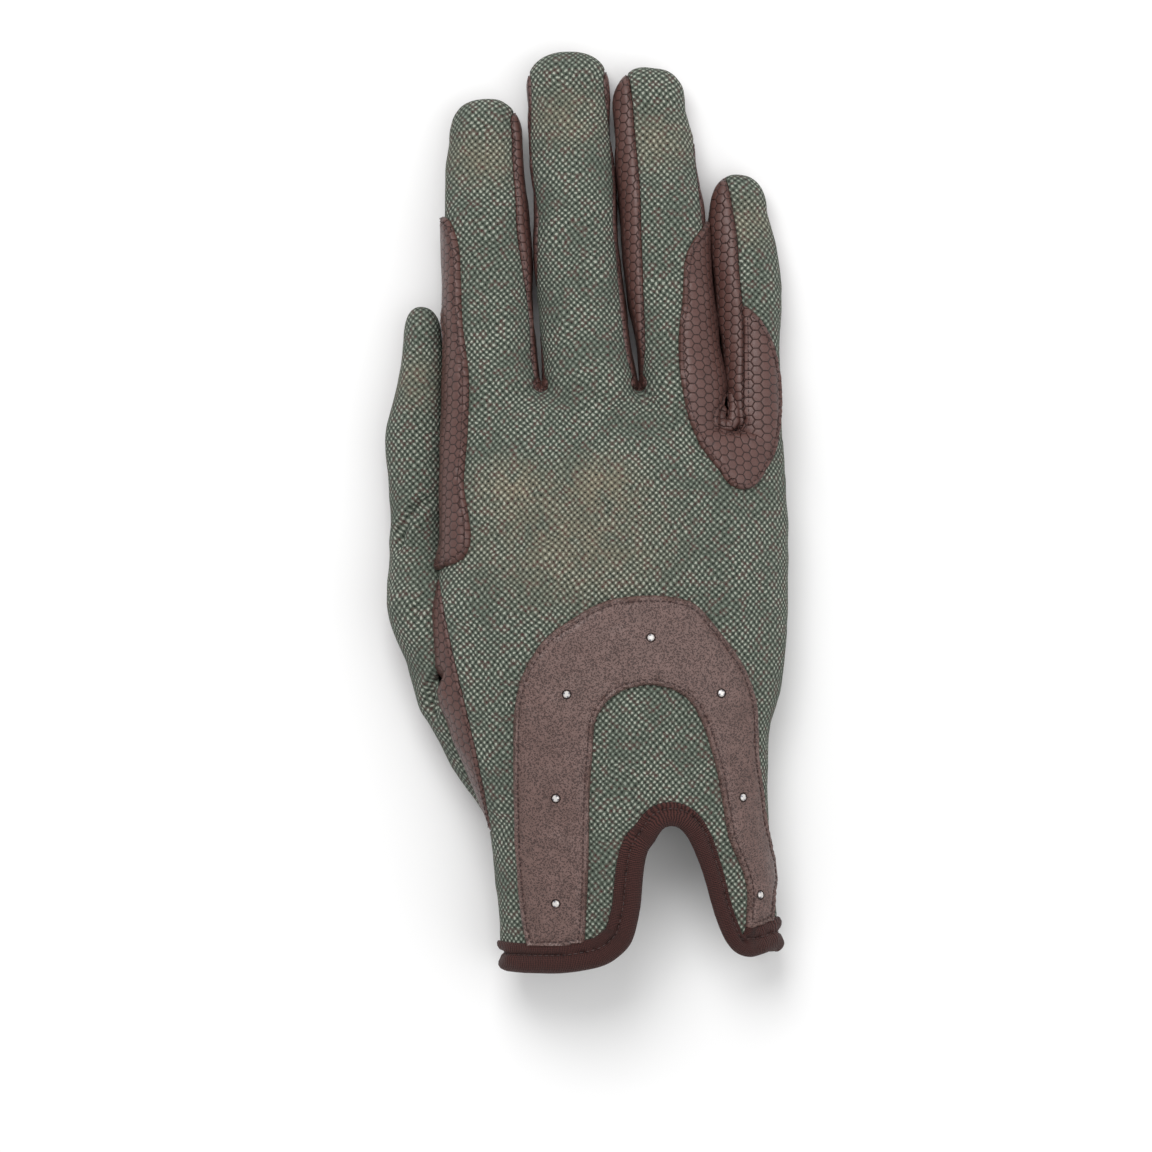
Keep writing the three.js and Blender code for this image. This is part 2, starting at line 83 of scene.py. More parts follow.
RING_ROWS = [
    (4, 15, 34.5, 26.0, -1), (30.5, 13.6, 33.9, 25, -0.8), (40, 12.4, 32.6, 23.4, -0.8),
    (52.5, 10.4, 31.1, 21.5, -0.8), (67.5, 8.7, 29.9, 20, -0.9), (77.5, 8.2, 29.1, 18.9, -0.9),
    (90, 7.3, 27.3, 15.8, -0.9), (100, 6.6, 24.9, 13.6, -0.9),
]
LITTLE_ROWS = [
    (2, 37, 49.3, 20.5, -1), (19.5, 35.6, 49.0, 20.2, -0.8), (30, 34.6, 48.4, 19.0, -0.8),
    (40, 33.5, 48.6, 17.8, -0.8), (50, 32.2, 48.7, 16.6, -0.8), (60, 31.3, 48.2, 15.8, -0.8),
    (70, 30.6, 46.6, 13.6, -0.8), (75, 30.9, 45.4, 12.4, -0.8),
]
PALM_ROWS = [
    (-121, -20.4, 48.2, 28.5, -1.2), (-108, -21.4, 48.0, 29, -1.5), (-97.5, -22.1, 47.1, 30, -1.5),
    (-87, -23.1, 46.0, 30.6, -1.5), (-78.75, -24.3, 45.4, 31, -1.5), (-72.5, -26.6, 45.2, 31.2, -1.5),
    (-57.5, -33.5, 45.6, 32, -1.5), (-45, -37.4, 48.3, 32.5, -1.5), (-27.5, -39, 50.1, 32.5, -1.5),
    (-16.5, -36.7, 50.4, 32.3, -1.5), (-7.5, -35.4, 50.4, 31.6, -1.5), (7.5, -35.1, 49.7, 30.5, -1.5),
    (17, -35.1, 49.1, 28, -1), (20.5, -35.0, 33.5, 27, -0.5), (24, -34.8, 31, 25.4, 1.5),
    (28, -33, 28, 21.4, 4.5), (30.5, -30, 24, 15, 8),
]
THUMB_ROWS = [
    (-78.75, -24.0, -12, 12, 4), (-72.5, -28.0, -12, 17, 1.5), (-62.5, -34.6, -14, 20.5, -0.8),
    (-50, -41.1, -18, 22.5, -0.8), (-37.5, -45.4, -23, 23.4, -0.8), (-30, -48.4, -27, 23.4, -0.8),
    (-22.5, -49.9, -30, 22.4, -0.8), (-12.5, -49.4, -34.2, 18.6, -0.8), (-5, -49.1, -35.0, 17.2, -0.8),
    (5, -49.6, -35.2, 16.6, -0.8), (17.5, -50.4, -35.2, 16.4, -0.8), (27.5, -48.4, -35.2, 16.2, -0.8),
    (35, -46.8, -35.6, 15.2, -0.8), (42.5, -45.9, -36.3, 13.6, -0.8),
]
PALM_TILT = -0.075

Array = np.ndarray

# The form of the hand and the thumb


def resample(rows: Sequence[Sequence[float]], step: float = 0.5) -> Array:
    """Fill in rows by a smooth curve that never overshoots them.

    Args:
        rows: rows of numbers, the first of each being its place along Y.
        step: spacing of the result along Y.

    Returns:
        Rows of the same columns at every step.
    """
    table = np.array(rows, float)
    y, v = table[:, 0], table[:, 1:]
    width = np.diff(y)
    delta = np.diff(v, axis=0) / width[:, None]
    slope = np.zeros_like(v)
    slope[0], slope[-1] = delta[0], delta[-1]
    same = delta[:-1] * delta[1:] > 0
    safe = np.where(same, delta[:-1] + delta[1:], 1.0)
    slope[1:-1] = np.where(same, 2 * delta[:-1] * delta[1:] / safe, 0.0)
    fine = np.append(np.arange(y[0], y[-1], step), y[-1])
    i = np.clip(np.searchsorted(y, fine, side="right") - 1, 0, len(y) - 2)
    w = width[i][:, None]
    t = (fine - y[i])[:, None] / w
    value = (
        (2 * t**3 - 3 * t**2 + 1) * v[i]
        + (t**3 - 2 * t**2 + t) * w * slope[i]
        + (3 * t**2 - 2 * t**3) * v[i + 1]
        + (t**3 - t**2) * w * slope[i + 1]
    )
    return np.column_stack([fine, value])


def smooth_min(a: Array, b: Array, k: float) -> Array:
    """The smaller of two fields, rounded where they meet."""
    h = np.clip(0.5 + 0.5 * (b - a) / k, 0, 1)
    return b + (a - b) * h - k * h * (1 - h)


def smoothstep(low: float, high: float, x: Array) -> Array:
    """0 below low, 1 above high and an S curve between."""
    t = np.clip((x - low) / (high - low), 0, 1)
    return t * t * (3 - 2 * t)


class Tube:
    """A finger, thumb or palm: superellipse sections along Y, with or without a domed end."""

    def __init__(self, rows: Sequence[Sequence[float]], dome: float, tilt: float = 0.0) -> None:
        """Keep the sections.

        Args:
            rows: y, left, right, top, bottom in mm.
            dome: how far the domed end reaches beyond the last section.
            tilt: rise of the section per mm to the right.
        """
        table = resample(rows)
        self.y = table[:, 0]
        self.columns = table[:, 1:].T
        self.dome = dome
        self.tilt = tilt

    def section(self, y: Array) -> tuple[Array, Array, Array, Array]:
        """The middle and half sizes (x, z, half, rise) of the sections at y."""
        left, right, top, bottom = (np.interp(y, self.y, c) for c in self.columns)
        return (left + right) / 2, (top + bottom) / 2, (right - left) / 2, (top - bottom) / 2

    def distance(self, p: Array) -> Array:
        """Roughly the distance of points from the surface, negative inside.

        Args:
            p: points in mm.

        Returns:
            One distance per point.
        """
        y = p[:, 1]
        x0, z0, half, rise = self.section(y)
        across = p[:, 0] - x0
        u = np.abs(across) / half
        w = np.abs(p[:, 2] - z0 - self.tilt * across) / rise
        b = np.maximum(0.0, y - self.y[-1]) / max(self.dome, 1e-6) if self.dome else np.zeros_like(y)
        q = POWER - 1
        r = np.maximum((u**POWER + w**POWER + b**POWER) ** (1 / POWER), 1e-3)
        slope = np.sqrt((u**q / half) ** 2 + (w**q / rise) ** 2 + (b**q / max(self.dome, 1)) ** 2)
        d = (r - 1) / np.maximum(slope * r**-q, 0.5 / np.maximum(half, rise))
        d = np.maximum(d, self.y[0] - y)
        return d if self.dome else np.maximum(d, y - self.y[-1])


PALM = Tube(PALM_ROWS, 0.0, PALM_TILT)
INDEX = Tube(INDEX_ROWS, 11.0)
MIDDLE = Tube(MIDDLE_ROWS, 10.0)
RING = Tube(RING_ROWS, 11.0)
LITTLE = Tube(LITTLE_ROWS, 9.5)
FINGERS = (INDEX, MIDDLE, RING, LITTLE)
THUMB = Tube(THUMB_ROWS, 8.7)


def floored(d: Array, p: Array) -> Array:
    """A field flattened where it rests on the floor."""
    return -smooth_min(-d, p[:, 2], FLOOR_ROUND)


def finger_distances(p: Array) -> Array:
    """Distance from each finger; their roots dip under the palm's surface.

    Args:
        p: points in mm.

    Returns:
        One row of distances per finger.
    """
    rooted = []
    for finger in FINGERS:
        dip = ROOT_DIP * (1 - smoothstep(finger.y[0], finger.y[0] + 16, p[:, 1]))
        rooted.append(finger.distance(p) + dip)
    return np.array(rooted)


def hand_form(p: Array) -> Array:
    """Distance from the hand without its thumb.

    Args:
        p: points in mm.

    Returns:
        One distance per point, negative inside.
    """
    x = p[:, 0]
    amid = smoothstep(-34.0, -28.0, x) * (1 - smoothstep(40.0, 46.0, x))
    fingers = finger_distances(p).min(axis=0)
    return floored(smooth_min(PALM.distance(p), fingers, 0.7 + (JOIN_ROUND - 0.7) * amid), p)


def thumb_form(p: Array) -> Array:
    """Distance from the thumb."""
    return floored(THUMB.distance(p), p)


SPREAD = 4.5  # how far neighbouring fingers are drawn apart while the form is sampled


def spread_knots(y: float) -> tuple[Array, Array]:
    """Where the fingers' edges are at y, as they are and drawn apart.

    Args:
        y: the place along the fingers.

    Returns:
        The edges' true x and their x drawn apart.
    """
    edges = []
    for finger, side in ((INDEX, 1), (MIDDLE, 0), (MIDDLE, 1), (RING, 0), (RING, 1), (LITTLE, 0)):
        edges.append(float(np.interp(y, finger.y, finger.columns[side])))
    true = np.array([-80.0, *edges, 120.0])
    amount = SPREAD * float(smoothstep(-30.0, 14.0, np.array(y)))
    moved = true + amount * np.array([0, 0, 1, 1, 2, 2, 3, 3])
    return true, moved


def gradient(form: Callable[[Array], Array], p: Array, step: float = 0.05) -> Array:
    """The gradient of a field at points.

    Args:
        form: the field.
        p: points in mm.
        step: half the length that the slope is taken over.

    Returns:
        One vector per point.
    """
    out = np.empty_like(p)
    for axis in range(3):
        shift = np.zeros(3)
        shift[axis] = step
        out[:, axis] = (form(p + shift) - form(p - shift)) / (2 * step)
    return out


def settle(form: Callable[[Array], Array], p: Array, rounds: int = 4) -> Array:
    """Move points along the field's gradient onto its zero surface.

    Args:
        form: the field.
        p: points in mm.
        rounds: number of moves.

    Returns:
        The moved points.
    """
    for _ in range(rounds):
        g = gradient(form, p)
        size = np.maximum((g * g).sum(1), 0.05)
        step = g * (form(p) / size)[:, None]
        length = np.linalg.norm(step, axis=1, keepdims=True)
        p = p - step * np.minimum(1.0, 0.8 / np.maximum(length, 1e-9))
    return p


def polygonise(grid: Array) -> tuple[Array, Array]:
    """Surface nets over a sampled field.

    Args:
        grid: field values on a box of samples, negative inside.

    Returns:
        Vertices in sample coordinates and quads that face outwards.
    """
    inside = grid < 0
    corners = [(i, j, k) for i in (0, 1) for j in (0, 1) for k in (0, 1)]
    shape = tuple(n - 1 for n in grid.shape)
    count = np.zeros(shape, np.int8)
    for i, j, k in corners:
        count += inside[i : i + shape[0], j : j + shape[1], k : k + shape[2]]
    active = (count > 0) & (count < 8)
    cells = np.argwhere(active)
    index = np.full(shape, -1, np.int64)
    index[active] = np.arange(len(cells))
    total = np.zeros((len(cells), 3))
    hits = np.zeros(len(cells))
    for a in corners:
        for axis in range(3):
            if a[axis]:
                continue
            b = tuple(1 if n == axis else a[n] for n in range(3))
            fa = grid[tuple((cells + a).T)]
            fb = grid[tuple((cells + b).T)]
            crossed = (fa < 0) != (fb < 0)
            t = np.where(crossed, fa / np.where(crossed, fa - fb, 1), 0)
            point = np.array(a, float) + t[:, None] * (np.array(b) - np.array(a))
            total += point * crossed[:, None]
            hits += crossed
    vertices = cells + total / hits[:, None]
    quads = []
    for axis in range(3):
        u, v = (axis + 1) % 3, (axis + 2) % 3
        low = [slice(None)] * 3
        high = [slice(None)] * 3
        low[axis], high[axis] = slice(0, -1), slice(1, None)
        crossed = inside[tuple(low)] != inside[tuple(high)]
        crossed[tuple(0 if n == u else slice(None) for n in range(3))] = False
        crossed[tuple(0 if n == v else slice(None) for n in range(3))] = False
        crossed[tuple(-1 if n == u else slice(None) for n in range(3))] = False
        crossed[tuple(-1 if n == v else slice(None) for n in range(3))] = False
        edges = np.argwhere(crossed)
        du, dv = np.eye(3, dtype=int)[u], np.eye(3, dtype=int)[v]
        ring = [edges - du - dv, edges - dv, edges, edges - du]
        quad = np.column_stack([index[tuple(cell.T)] for cell in ring])
        outward = inside[tuple(edges.T)]
        quads.append(np.where(outward[:, None], quad, quad[:, ::-1]))
    return vertices, np.concatenate(quads)


def triangles_of(quads: Array, p: Array) -> Array:
    """Split quads along their shorter diagonals.

    Args:
        quads: four point numbers each.
        p: the points.

    Returns:
        Three point numbers for each triangle.
    """
    a, b, c, d = (p[quads[:, i]] for i in range(4))
    short = np.linalg.norm(a - c, axis=1) < np.linalg.norm(b - d, axis=1)
    first = np.where(short[:, None], quads[:, [0, 1, 2]], quads[:, [0, 1, 3]])
    second = np.where(short[:, None], quads[:, [0, 2, 3]], quads[:, [1, 2, 3]])
    return np.concatenate([first, second])


# Surfaces that are cut along lines


@dataclass
class Surface:
    """Triangles with values at their corners."""

    points: Array
    triangles: Array
    data: dict[str, Array] = field(default_factory=dict)

    def split(self, values: Array, snap: float = 0.05) -> "Surface":
        """Cut every triangle that a line of zero values crosses.

        Args:
            values: one value per point.
            snap: values smaller than this count as zero, so that no sliver is cut.

        Returns:
            The finer surface; its data "cut" holds the values.
        """
        values = np.where(np.abs(values) < snap, 0.0, values)
        count = len(self.points)
        sign = np.sign(values)[self.triangles]
        crossing = (sign.max(1) > 0) & (sign.min(1) < 0)
        cut, s = self.triangles[crossing], sign[crossing]
        ahead = np.roll(cut, -1, axis=1)
        crossed = s * np.roll(s, -1, axis=1) < 0
        low, high = np.minimum(cut, ahead)[crossed], np.maximum(cut, ahead)[crossed]
        keys, inverse = np.unique(low.astype(np.int64) * count + high, return_inverse=True)
        low, high = keys // count, keys % count
        t = values[low] / (values[low] - values[high])
        edge = np.full(cut.shape, -1, np.int64)
        edge[crossed] = count + inverse
        made = [self.triangles[~crossing]]
        number = crossed.sum(1)
        for k in range(3):
            n, m = (k + 1) % 3, (k + 2) % 3
            lone = (number == 2) & crossed[:, k] & crossed[:, m]
            a, b, c = cut[lone, k], cut[lone, n], cut[lone, m]
            ab, ca = edge[lone, k], edge[lone, m]
            made += [np.column_stack(f) for f in ((a, ab, ca), (ab, b, c), (ab, c, ca))]
            one = (number == 1) & crossed[:, k]
            a, b, c, ab = cut[one, k], cut[one, n], cut[one, m], edge[one, k]
            made += [np.column_stack(f) for f in ((a, ab, c), (ab, b, c))]

        def blend(array: Array) -> Array:
            """The points' values, and after them those of the cut edges."""
            weight = t.reshape(-1, *[1] * (array.ndim - 1))
            return np.concatenate([array, array[low] * (1 - weight) + array[high] * weight])

        data = {name: blend(array) for name, array in self.data.items()}
        data["cut"] = np.concatenate([values, np.zeros(len(low))])
        return Surface(blend(self.points), np.concatenate(made), data)

    def keep(self, chosen: Array) -> "Surface":
        """Only the chosen triangles, with the points that they use.

        Args:
            chosen: whether each triangle stays.

        Returns:
            The smaller surface.
        """
        triangles = self.triangles[chosen]
        used, inverse = np.unique(triangles, return_inverse=True)
        data = {name: array[used] for name, array in self.data.items()}
        return Surface(self.points[used], inverse.reshape(-1, 3), data)

    def where(self, values: Array, snap: float = 0.05) -> "Surface":
        """The part of the surface where the values are positive, cut exactly."""
        finer = self.split(values, snap)
        return finer.keep(finer.data["cut"][finer.triangles].mean(1) > 0)

    def border(self) -> Array:
        """The edges that only one triangle has, in that triangle's direction."""
        a = self.triangles.ravel()
        b = np.roll(self.triangles, -1, axis=1).ravel()
        key = np.minimum(a, b).astype(np.int64) * len(self.points) + np.maximum(a, b)
        _, first, number = np.unique(key, return_index=True, return_counts=True)
        single = first[number == 1]
        return np.column_stack([a[single], b[single]])

    def contour(self, values: Array) -> tuple["Surface", list[list[int]]]:
        """Lines of zero values.

        Args:
            values: one value per point.

        Returns:
            The surface cut along the lines, and each line as a chain of its points.
        """
        finer = self.split(values)
        cut = finer.data["cut"]
        upper = finer.triangles[cut[finer.triangles].sum(1) > 1e-9]
        links: dict[int, list[int]] = {}
        for k in range(3):
            a, b = upper[:, k], upper[:, (k + 1) % 3]
            for i, j in np.column_stack([a, b])[(cut[a] == 0) & (cut[b] == 0)].tolist():
                links.setdefault(i, []).append(j)
                links.setdefault(j, []).append(i)
        chains = []
        ends = [i for i, near in links.items() if len(near) == 1]
        for start in ends + list(links):
            if not links.get(start):
                continue
            chain = [start]
            while links.get(chain[-1]):
                after = links[chain[-1]].pop()
                links[after].remove(chain[-1])
                chain.append(after)
            if len(chain) > 6:
                chains.append(chain)
        return finer, chains

    def rim_distance(self, reach: float = 5.0) -> Array:
        """Each point's distance from the border, up to a reach.

        Args:
            reach: the largest distance that matters.

        Returns:
            One distance per point.
        """
        edges = self.border()
        ends = self.points
        neighbours: dict[int, list[int]] = {}
        for number, (a, b) in enumerate(edges):
            neighbours.setdefault(int(a), []).append(number)
            neighbours.setdefault(int(b), []).append(number)
        rim = np.array(sorted(neighbours))
        tree = KDTree(len(rim))
        for i in rim:
            tree.insert(ends[i], int(i))
        tree.balance()
        out = np.full(len(ends), reach)
        for i, point in enumerate(ends):
            near = tree.find_n(point, 2)
            if near[0][2] > reach:
                continue
            best = near[0][2]
            for _, at, _ in near:
                for number in neighbours[at]:
                    a, b = ends[edges[number, 0]], ends[edges[number, 1]]
                    along = b - a
                    t = min(1.0, max(0.0, float((point - a) @ along) / max(1e-12, float(along @ along))))
                    best = min(best, float(np.linalg.norm(point - a - t * along)))
            out[i] = min(reach, best)
        return out


def surface_of(
    form: Callable[[Array], Array], low: Sequence[float], high: Sequence[float], spread: bool
) -> Surface:
    """Polygonise a field and settle its points on it.

    Args:
        form: the field.
        low: lowest corner of the sampled box.
        high: highest corner of the sampled box.
        spread: whether the fingers are drawn apart while they are sampled.

    Returns:
        The closed surface with its outward normals in data "normal".
    """
    axes = [np.arange(a, b, GRID) for a, b in zip(low, high)]
    shape = tuple(len(axis) for axis in axes)
    grid = np.empty(shape)
    columns = []
    for j, y in enumerate(axes[1]):
        x = axes[0]
        if spread:
            true, moved = spread_knots(y)
            x = np.interp(x, moved, true)
        columns.append(x)
        plane = np.stack(np.meshgrid(x, [y], axes[2], indexing="ij"), axis=-1).reshape(-1, 3)
        grid[:, j, :] = form(plane).reshape(shape[0], shape[2])
    vertices, quads = polygonise(grid)
    column = np.array(columns)
    j = np.clip(vertices[:, 1].astype(int), 0, shape[1] - 2)
    i = np.clip(vertices[:, 0].astype(int), 0, shape[0] - 2)
    fj, fi = vertices[:, 1] - j, vertices[:, 0] - i
    x = (
        column[j, i] * (1 - fi) * (1 - fj) + column[j, i + 1] * fi * (1 - fj)
        + column[j + 1, i] * (1 - fi) * fj + column[j + 1, i + 1] * fi * fj
    )
    points = np.column_stack([x, low[1] + vertices[:, 1] * GRID, low[2] + vertices[:, 2] * GRID])
    points = settle(form, points)
    normal = gradient(form, points, 0.2)
    normal /= np.maximum(np.linalg.norm(normal, axis=1, keepdims=True), 1e-9)
    return Surface(points, triangles_of(quads, points), {"normal": normal})


# Seams and outlines

# The cuff's free edge on the back, from left to right.
CUFF_EDGE = [
    (-21.6, -114.8), (-14.1, -115), (-6.6, -114.9), (-0.4, -114.1), (4.6, -112.8),
    (7.9, -110.8), (11, -107.5), (12.6, -102.5), (13.5, -97.5), (13.9, -92.5), (14.5, -87.5),
    (15.4, -84.3), (16.8, -82.4), (18, -80.4), (19.2, -78.9), (20.9, -78.4), (22.6, -78.7),
    (24.2, -80), (25.9, -82.5), (28.1, -87.5), (29.8, -92.5), (31.2, -97.5), (32.8, -102.5),
    (35.1, -107.5), (37.4, -110), (40.8, -111.2), (44.9, -110.4), (47.5, -109.7), (49.1, -109.4),
]
PALM_SPREAD = 3.5  # how much further the palm's notch is cut than the back's
NOTCH_MIDDLE, NOTCH_HALF, NOTCH_HEIGHT, CUFF_Y = 21.0, 16.5, 36.0, -114.945
SIDE_HEIGHT = 14.08  # where the back's edge meets the palm's

# Seams round the sides: y and the seam's height 86 mm to the left and right of the middle.
SEAM_REACH = 86.0
PALM_SEAM = [
    (-129.5, 16.6, 1.6), (-78.6, 16.6, 1.6), (-34.9, 17.3, 1.76), (17.0, 18.2, 1.92),
    (30.6, 10.6, 4.8), (59.7, 7.0, 5.6), (125.1, 4.5, 4.5),
]
THUMB_SEAM = [
    (-129.5, 8, 8), (-78.6, 8, 8), (-49.5, 9.6, 9.6), (-27.6, 9.3, 9.3),
    (-5.8, 7.0, 7.0), (23.3, 6.1, 6.1), (59.7, 4.8, 4.8),
]
GUARD_HEM = [(-129.5, 14.6, 14.6), (43.6, 14.6, 14.6), (53.8, 7.7, 7.7), (78.6, 4.2, 4.2)]
REIN_HEM = [(-129.5, 13.4, 13.4), (125.0, 13.4, 13.4)]

GUARD = [
    (-36.3, 74), (-34.3, 72.4), (-32.7, 69.2), (-31.7, 65.1), (-31.2, 57.1), (-31, 50.8), (-30.6, 45),
    (-29.6, 37.5), (-29.1, 32.5), (-29.1, 28), (-29.4, 20), (-30, 11.8), (-30.3, 5.8), (-29.2, -1),
    (-28.6, -7), (-29.3, -10.4), (-31.3, -12.8), (-34.7, -14.2), (-38.4, -15.8),
]
GUARD_BACK = [(-46, -16.25), (-46, 74.25)]
GUSSET = [
    (-37.2, -15.5), (-37, -17), (-35.5, -25.9), (-32.8, -38.1), (-29.6, -51.6), (-26.4, -66.4),
    (-23.9, -79.9),
]
GUSSET_BACK = [(-46, -79.9), (-46, -15.5)]
REIN = [
    (31.5, 76), (29.4, 71.3), (26.7, 67.3), (24.7, 63.3), (23.8, 52.2), (22.9, 43.3), (22.9, 36.8),
    (24.1, 27.8), (25.8, 21.1), (28.5, 15.3), (32.5, 10), (35.6, 6), (39.2, 4.9), (41.8, 6),
    (44.5, 10), (46.5, 14.5), (47.4, 19), (47.8, 27.8), (47.4, 34.5), (46.5, 39.8), (44.5, 45.5),
    (41.8, 49.1), (39.4, 50.8), (36, 51.5), (34.5, 60),
]
HORSESHOE_OUTER = [
    (-13.2, -113.8), (-14.4, -108.8), (-15.7, -102.5), (-16.3, -97.5), (-16.8, -92.5), (-17.1, -87.5),
    (-17.5, -82.5), (-17.7, -76.2), (-17.9, -70), (-18, -62.5), (-18, -55), (-17.8, -50),
    (-17.1, -45.5), (-16, -41.5), (-13.9, -37.2), (-10.8, -32.6), (-7.6, -29.8), (-4, -27.4),
    (0.4, -24.6), (5.3, -22.5), (9.6, -21.7), (14.6, -21.3), (18.9, -21.4), (23.4, -22.1),
    (26.4, -23.2), (28.6, -25.1), (31.1, -28), (33.6, -31.2), (36.1, -34.5), (38.4, -38.1),
    (39.9, -41.2), (41.1, -44.8), (42, -48.8), (42.2, -53.8), (42.2, -58.8), (42.6, -63.8),
    (43.5, -71.2), (44.2, -77.5), (45.1, -82.5), (46, -88), (46.4, -92.5), (46.2, -97.5),
    (45.9, -103.8), (45.9, -112),
]
HORSESHOE_INNER = [
    (39.4, -112), (39.5, -102.5), (39.8, -97.5), (39.7, -94), (38.7, -90), (36.9, -85.8),
    (35.2, -81.5), (34.2, -76.2), (33.2, -70), (32, -63.8), (30.6, -58.8), (29.2, -54.5),
    (27.6, -50.8), (25.6, -47.6), (23.4, -45.8), (21, -44.5), (18.4, -43.8), (15.4, -43.4),
    (12.4, -43.8), (9.9, -44.4), (7.4, -45.6), (5, -47.5), (3.2, -50), (2.1, -52.5), (1.7, -56.2),
    (1.4, -61.2), (1, -66.2), (0.7, -72.5), (0.6, -80), (0.5, -87.5), (0.2, -95), (-0.2, -102.5),
    (-0.4, -106.2), (-0.5, -113.8),
]
# Where the leather starts on the fingers' sides, from the web to the tip.
LEATHER_EDGES = {
    "index_right": [
        (-12.1, 31.2), (-13.4, 37), (-13.8, 45), (-14.6, 53), (-15.8, 61.1), (-17, 69.2),
        (-17.4, 77.2), (-18, 85.2), (-18.4, 94.1), (-18.6, 98), (-16.5, 103),
    ],
    "middle_left": [
        (-10.5, 32), (-10.9, 37), (-11.7, 45), (-12.4, 53), (-12.5, 65.1), (-12.3, 73.2),
        (-12.7, 77.2), (-13.7, 85.2), (-14.2, 93.3), (-14.0, 101.4), (-14.3, 108), (-15, 112),
    ],
    "middle_right": [
        (12.4, 31.2), (10.6, 37), (8.9, 49), (7.7, 62.8), (7.0, 68.8), (6.8, 74), (6.9, 81.2),
        (5.6, 97.3), (4.9, 104), (4.6, 109), (5.5, 112),
    ],
    "ring_left": [
        (12.6, 28.8), (13.2, 31.3), (14.1, 37), (14.1, 45), (13.8, 57.1), (13.4, 69.2), (13.1, 81.2),
        (12, 93.3), (11.4, 101.4), (10.6, 107.5), (9.6, 111),
    ],
    "ring_right": [
        (33.6, 22), (33.0, 31), (31.9, 42), (30.4, 54), (29.4, 68), (28.5, 78), (27, 91),
        (27.5, 104),
    ],
    "little_left": [
        (39.5, 20), (39.5, 27.8), (39.4, 36.8), (39.3, 45.5), (38.9, 51), (38.1, 59), (37.8, 65.5),
        (37.4, 70), (36.5, 75.3), (35.4, 81), (34.2, 84.5),
    ],
}
# The tape round the cuff from left to right: x of the edge, width of the lobe at the edge, width of
# the lobe beyond the seam.
TAPE_WIDTHS = [
    (-25, 4.6, 2.9), (6, 4.6, 2.9), (11, 4.5, 2.9), (14, 4.4, 2.7), (18, 4.4, 1.9), (21, 4.5, 1.6),
    (26, 4.0, 1.2), (30, 3.4, 0.9), (36, 3.1, 0.9), (38.2, 3.4, 1.4), (39.6, 4.6, 3.3), (43.5, 4.8, 3.6),
    (50, 4.8, 3.7),
]
# Folds in the thumb's cloth and in the cuff beside the horseshoe.
CREASES = (
    [(-36.4, 3), (-41.6, 1.2), (-45.4, -4.2), (-47.9, -12.5)],
    [(-39.9, -21.2), (-44.1, -28)], [(-35.5, -38), (-39, -46), (-37.5, -54)],
    [(-21.6, -107), (-20.4, -114.5)], [(47.9, -102.5), (48.4, -108.8)],
)
STONES = [
    (-7.6, -97.5), (-7.6, -71.4), (-4.9, -45.7), (15.9, -31.7), (33.4, -45.5), (38.9, -71.4),
    (43.3, -95.7),
]


def noise(p: Array, size: float, seed: int) -> Array:
    """Smooth value noise from -1 to 1 with features of a size in mm.

    Args:
        p: points in mm.
        size: size of the features.
        seed: number of the pattern.

    Returns:
        One value per point.
    """
    q = p / size + seed * 17.3
    base = np.floor(q).astype(np.int64)
    t = q - base
    t = t * t * (3 - 2 * t)
    total = np.zeros(len(p))
    for corner in range(8):
        offset = np.array([corner & 1, corner >> 1 & 1, corner >> 2 & 1])
        cell = base + offset
        mixed = (cell[:, 0] * 73856093) ^ (cell[:, 1] * 19349663) ^ (cell[:, 2] * 83492791)
        value = ((mixed * 2654435761 >> 7) & 0xFFFF) / 32767.5 - 1.0
        total += value * np.prod(np.where(offset, t, 1 - t), axis=1)
    return total


def smooth_line(points: Sequence[Sequence[float]], closed: bool, per: int = 8) -> Array:
    """A centripetal Catmull-Rom curve through points, with the same columns.

    Args:
        points: the corners.
        closed: whether the last joins the first.
        per: places between two corners.

    Returns:
        The finer line.
    """
    p = np.array(points, float)
    if closed:
        p = np.concatenate([p[-1:], p, p[:2]])
    else:
        p = np.concatenate([2 * p[:1] - p[1:2], p, 2 * p[-1:] - p[-2:-1]])
    out = []
    for p0, p1, p2, p3 in zip(p, p[1:], p[2:], p[3:]):
        pairs = ((p0, p1), (p1, p2), (p2, p3))
        gaps = [max(1e-4, float(np.linalg.norm(b[:2] - a[:2]))) ** 0.5 for a, b in pairs]
        t0, t1 = 0.0, gaps[0]
        t2, t3 = t1 + gaps[1], t1 + gaps[1] + gaps[2]
        t = np.linspace(t1, t2, per, endpoint=False)[:, None]
        a1 = (t1 - t) / (t1 - t0) * p0 + (t - t0) / (t1 - t0) * p1
        a2 = (t2 - t) / (t2 - t1) * p1 + (t - t1) / (t2 - t1) * p2
        a3 = (t3 - t) / (t3 - t2) * p2 + (t - t2) / (t3 - t2) * p3
        b1 = (t2 - t) / (t2 - t0) * a1 + (t - t0) / (t2 - t0) * a2
        b2 = (t3 - t) / (t3 - t1) * a2 + (t - t1) / (t3 - t1) * a3
        out.append((t2 - t) / (t2 - t1) * b1 + (t - t1) / (t2 - t1) * b2)
    if not closed:
        out.append(p[-2:-1])
    return np.concatenate(out)


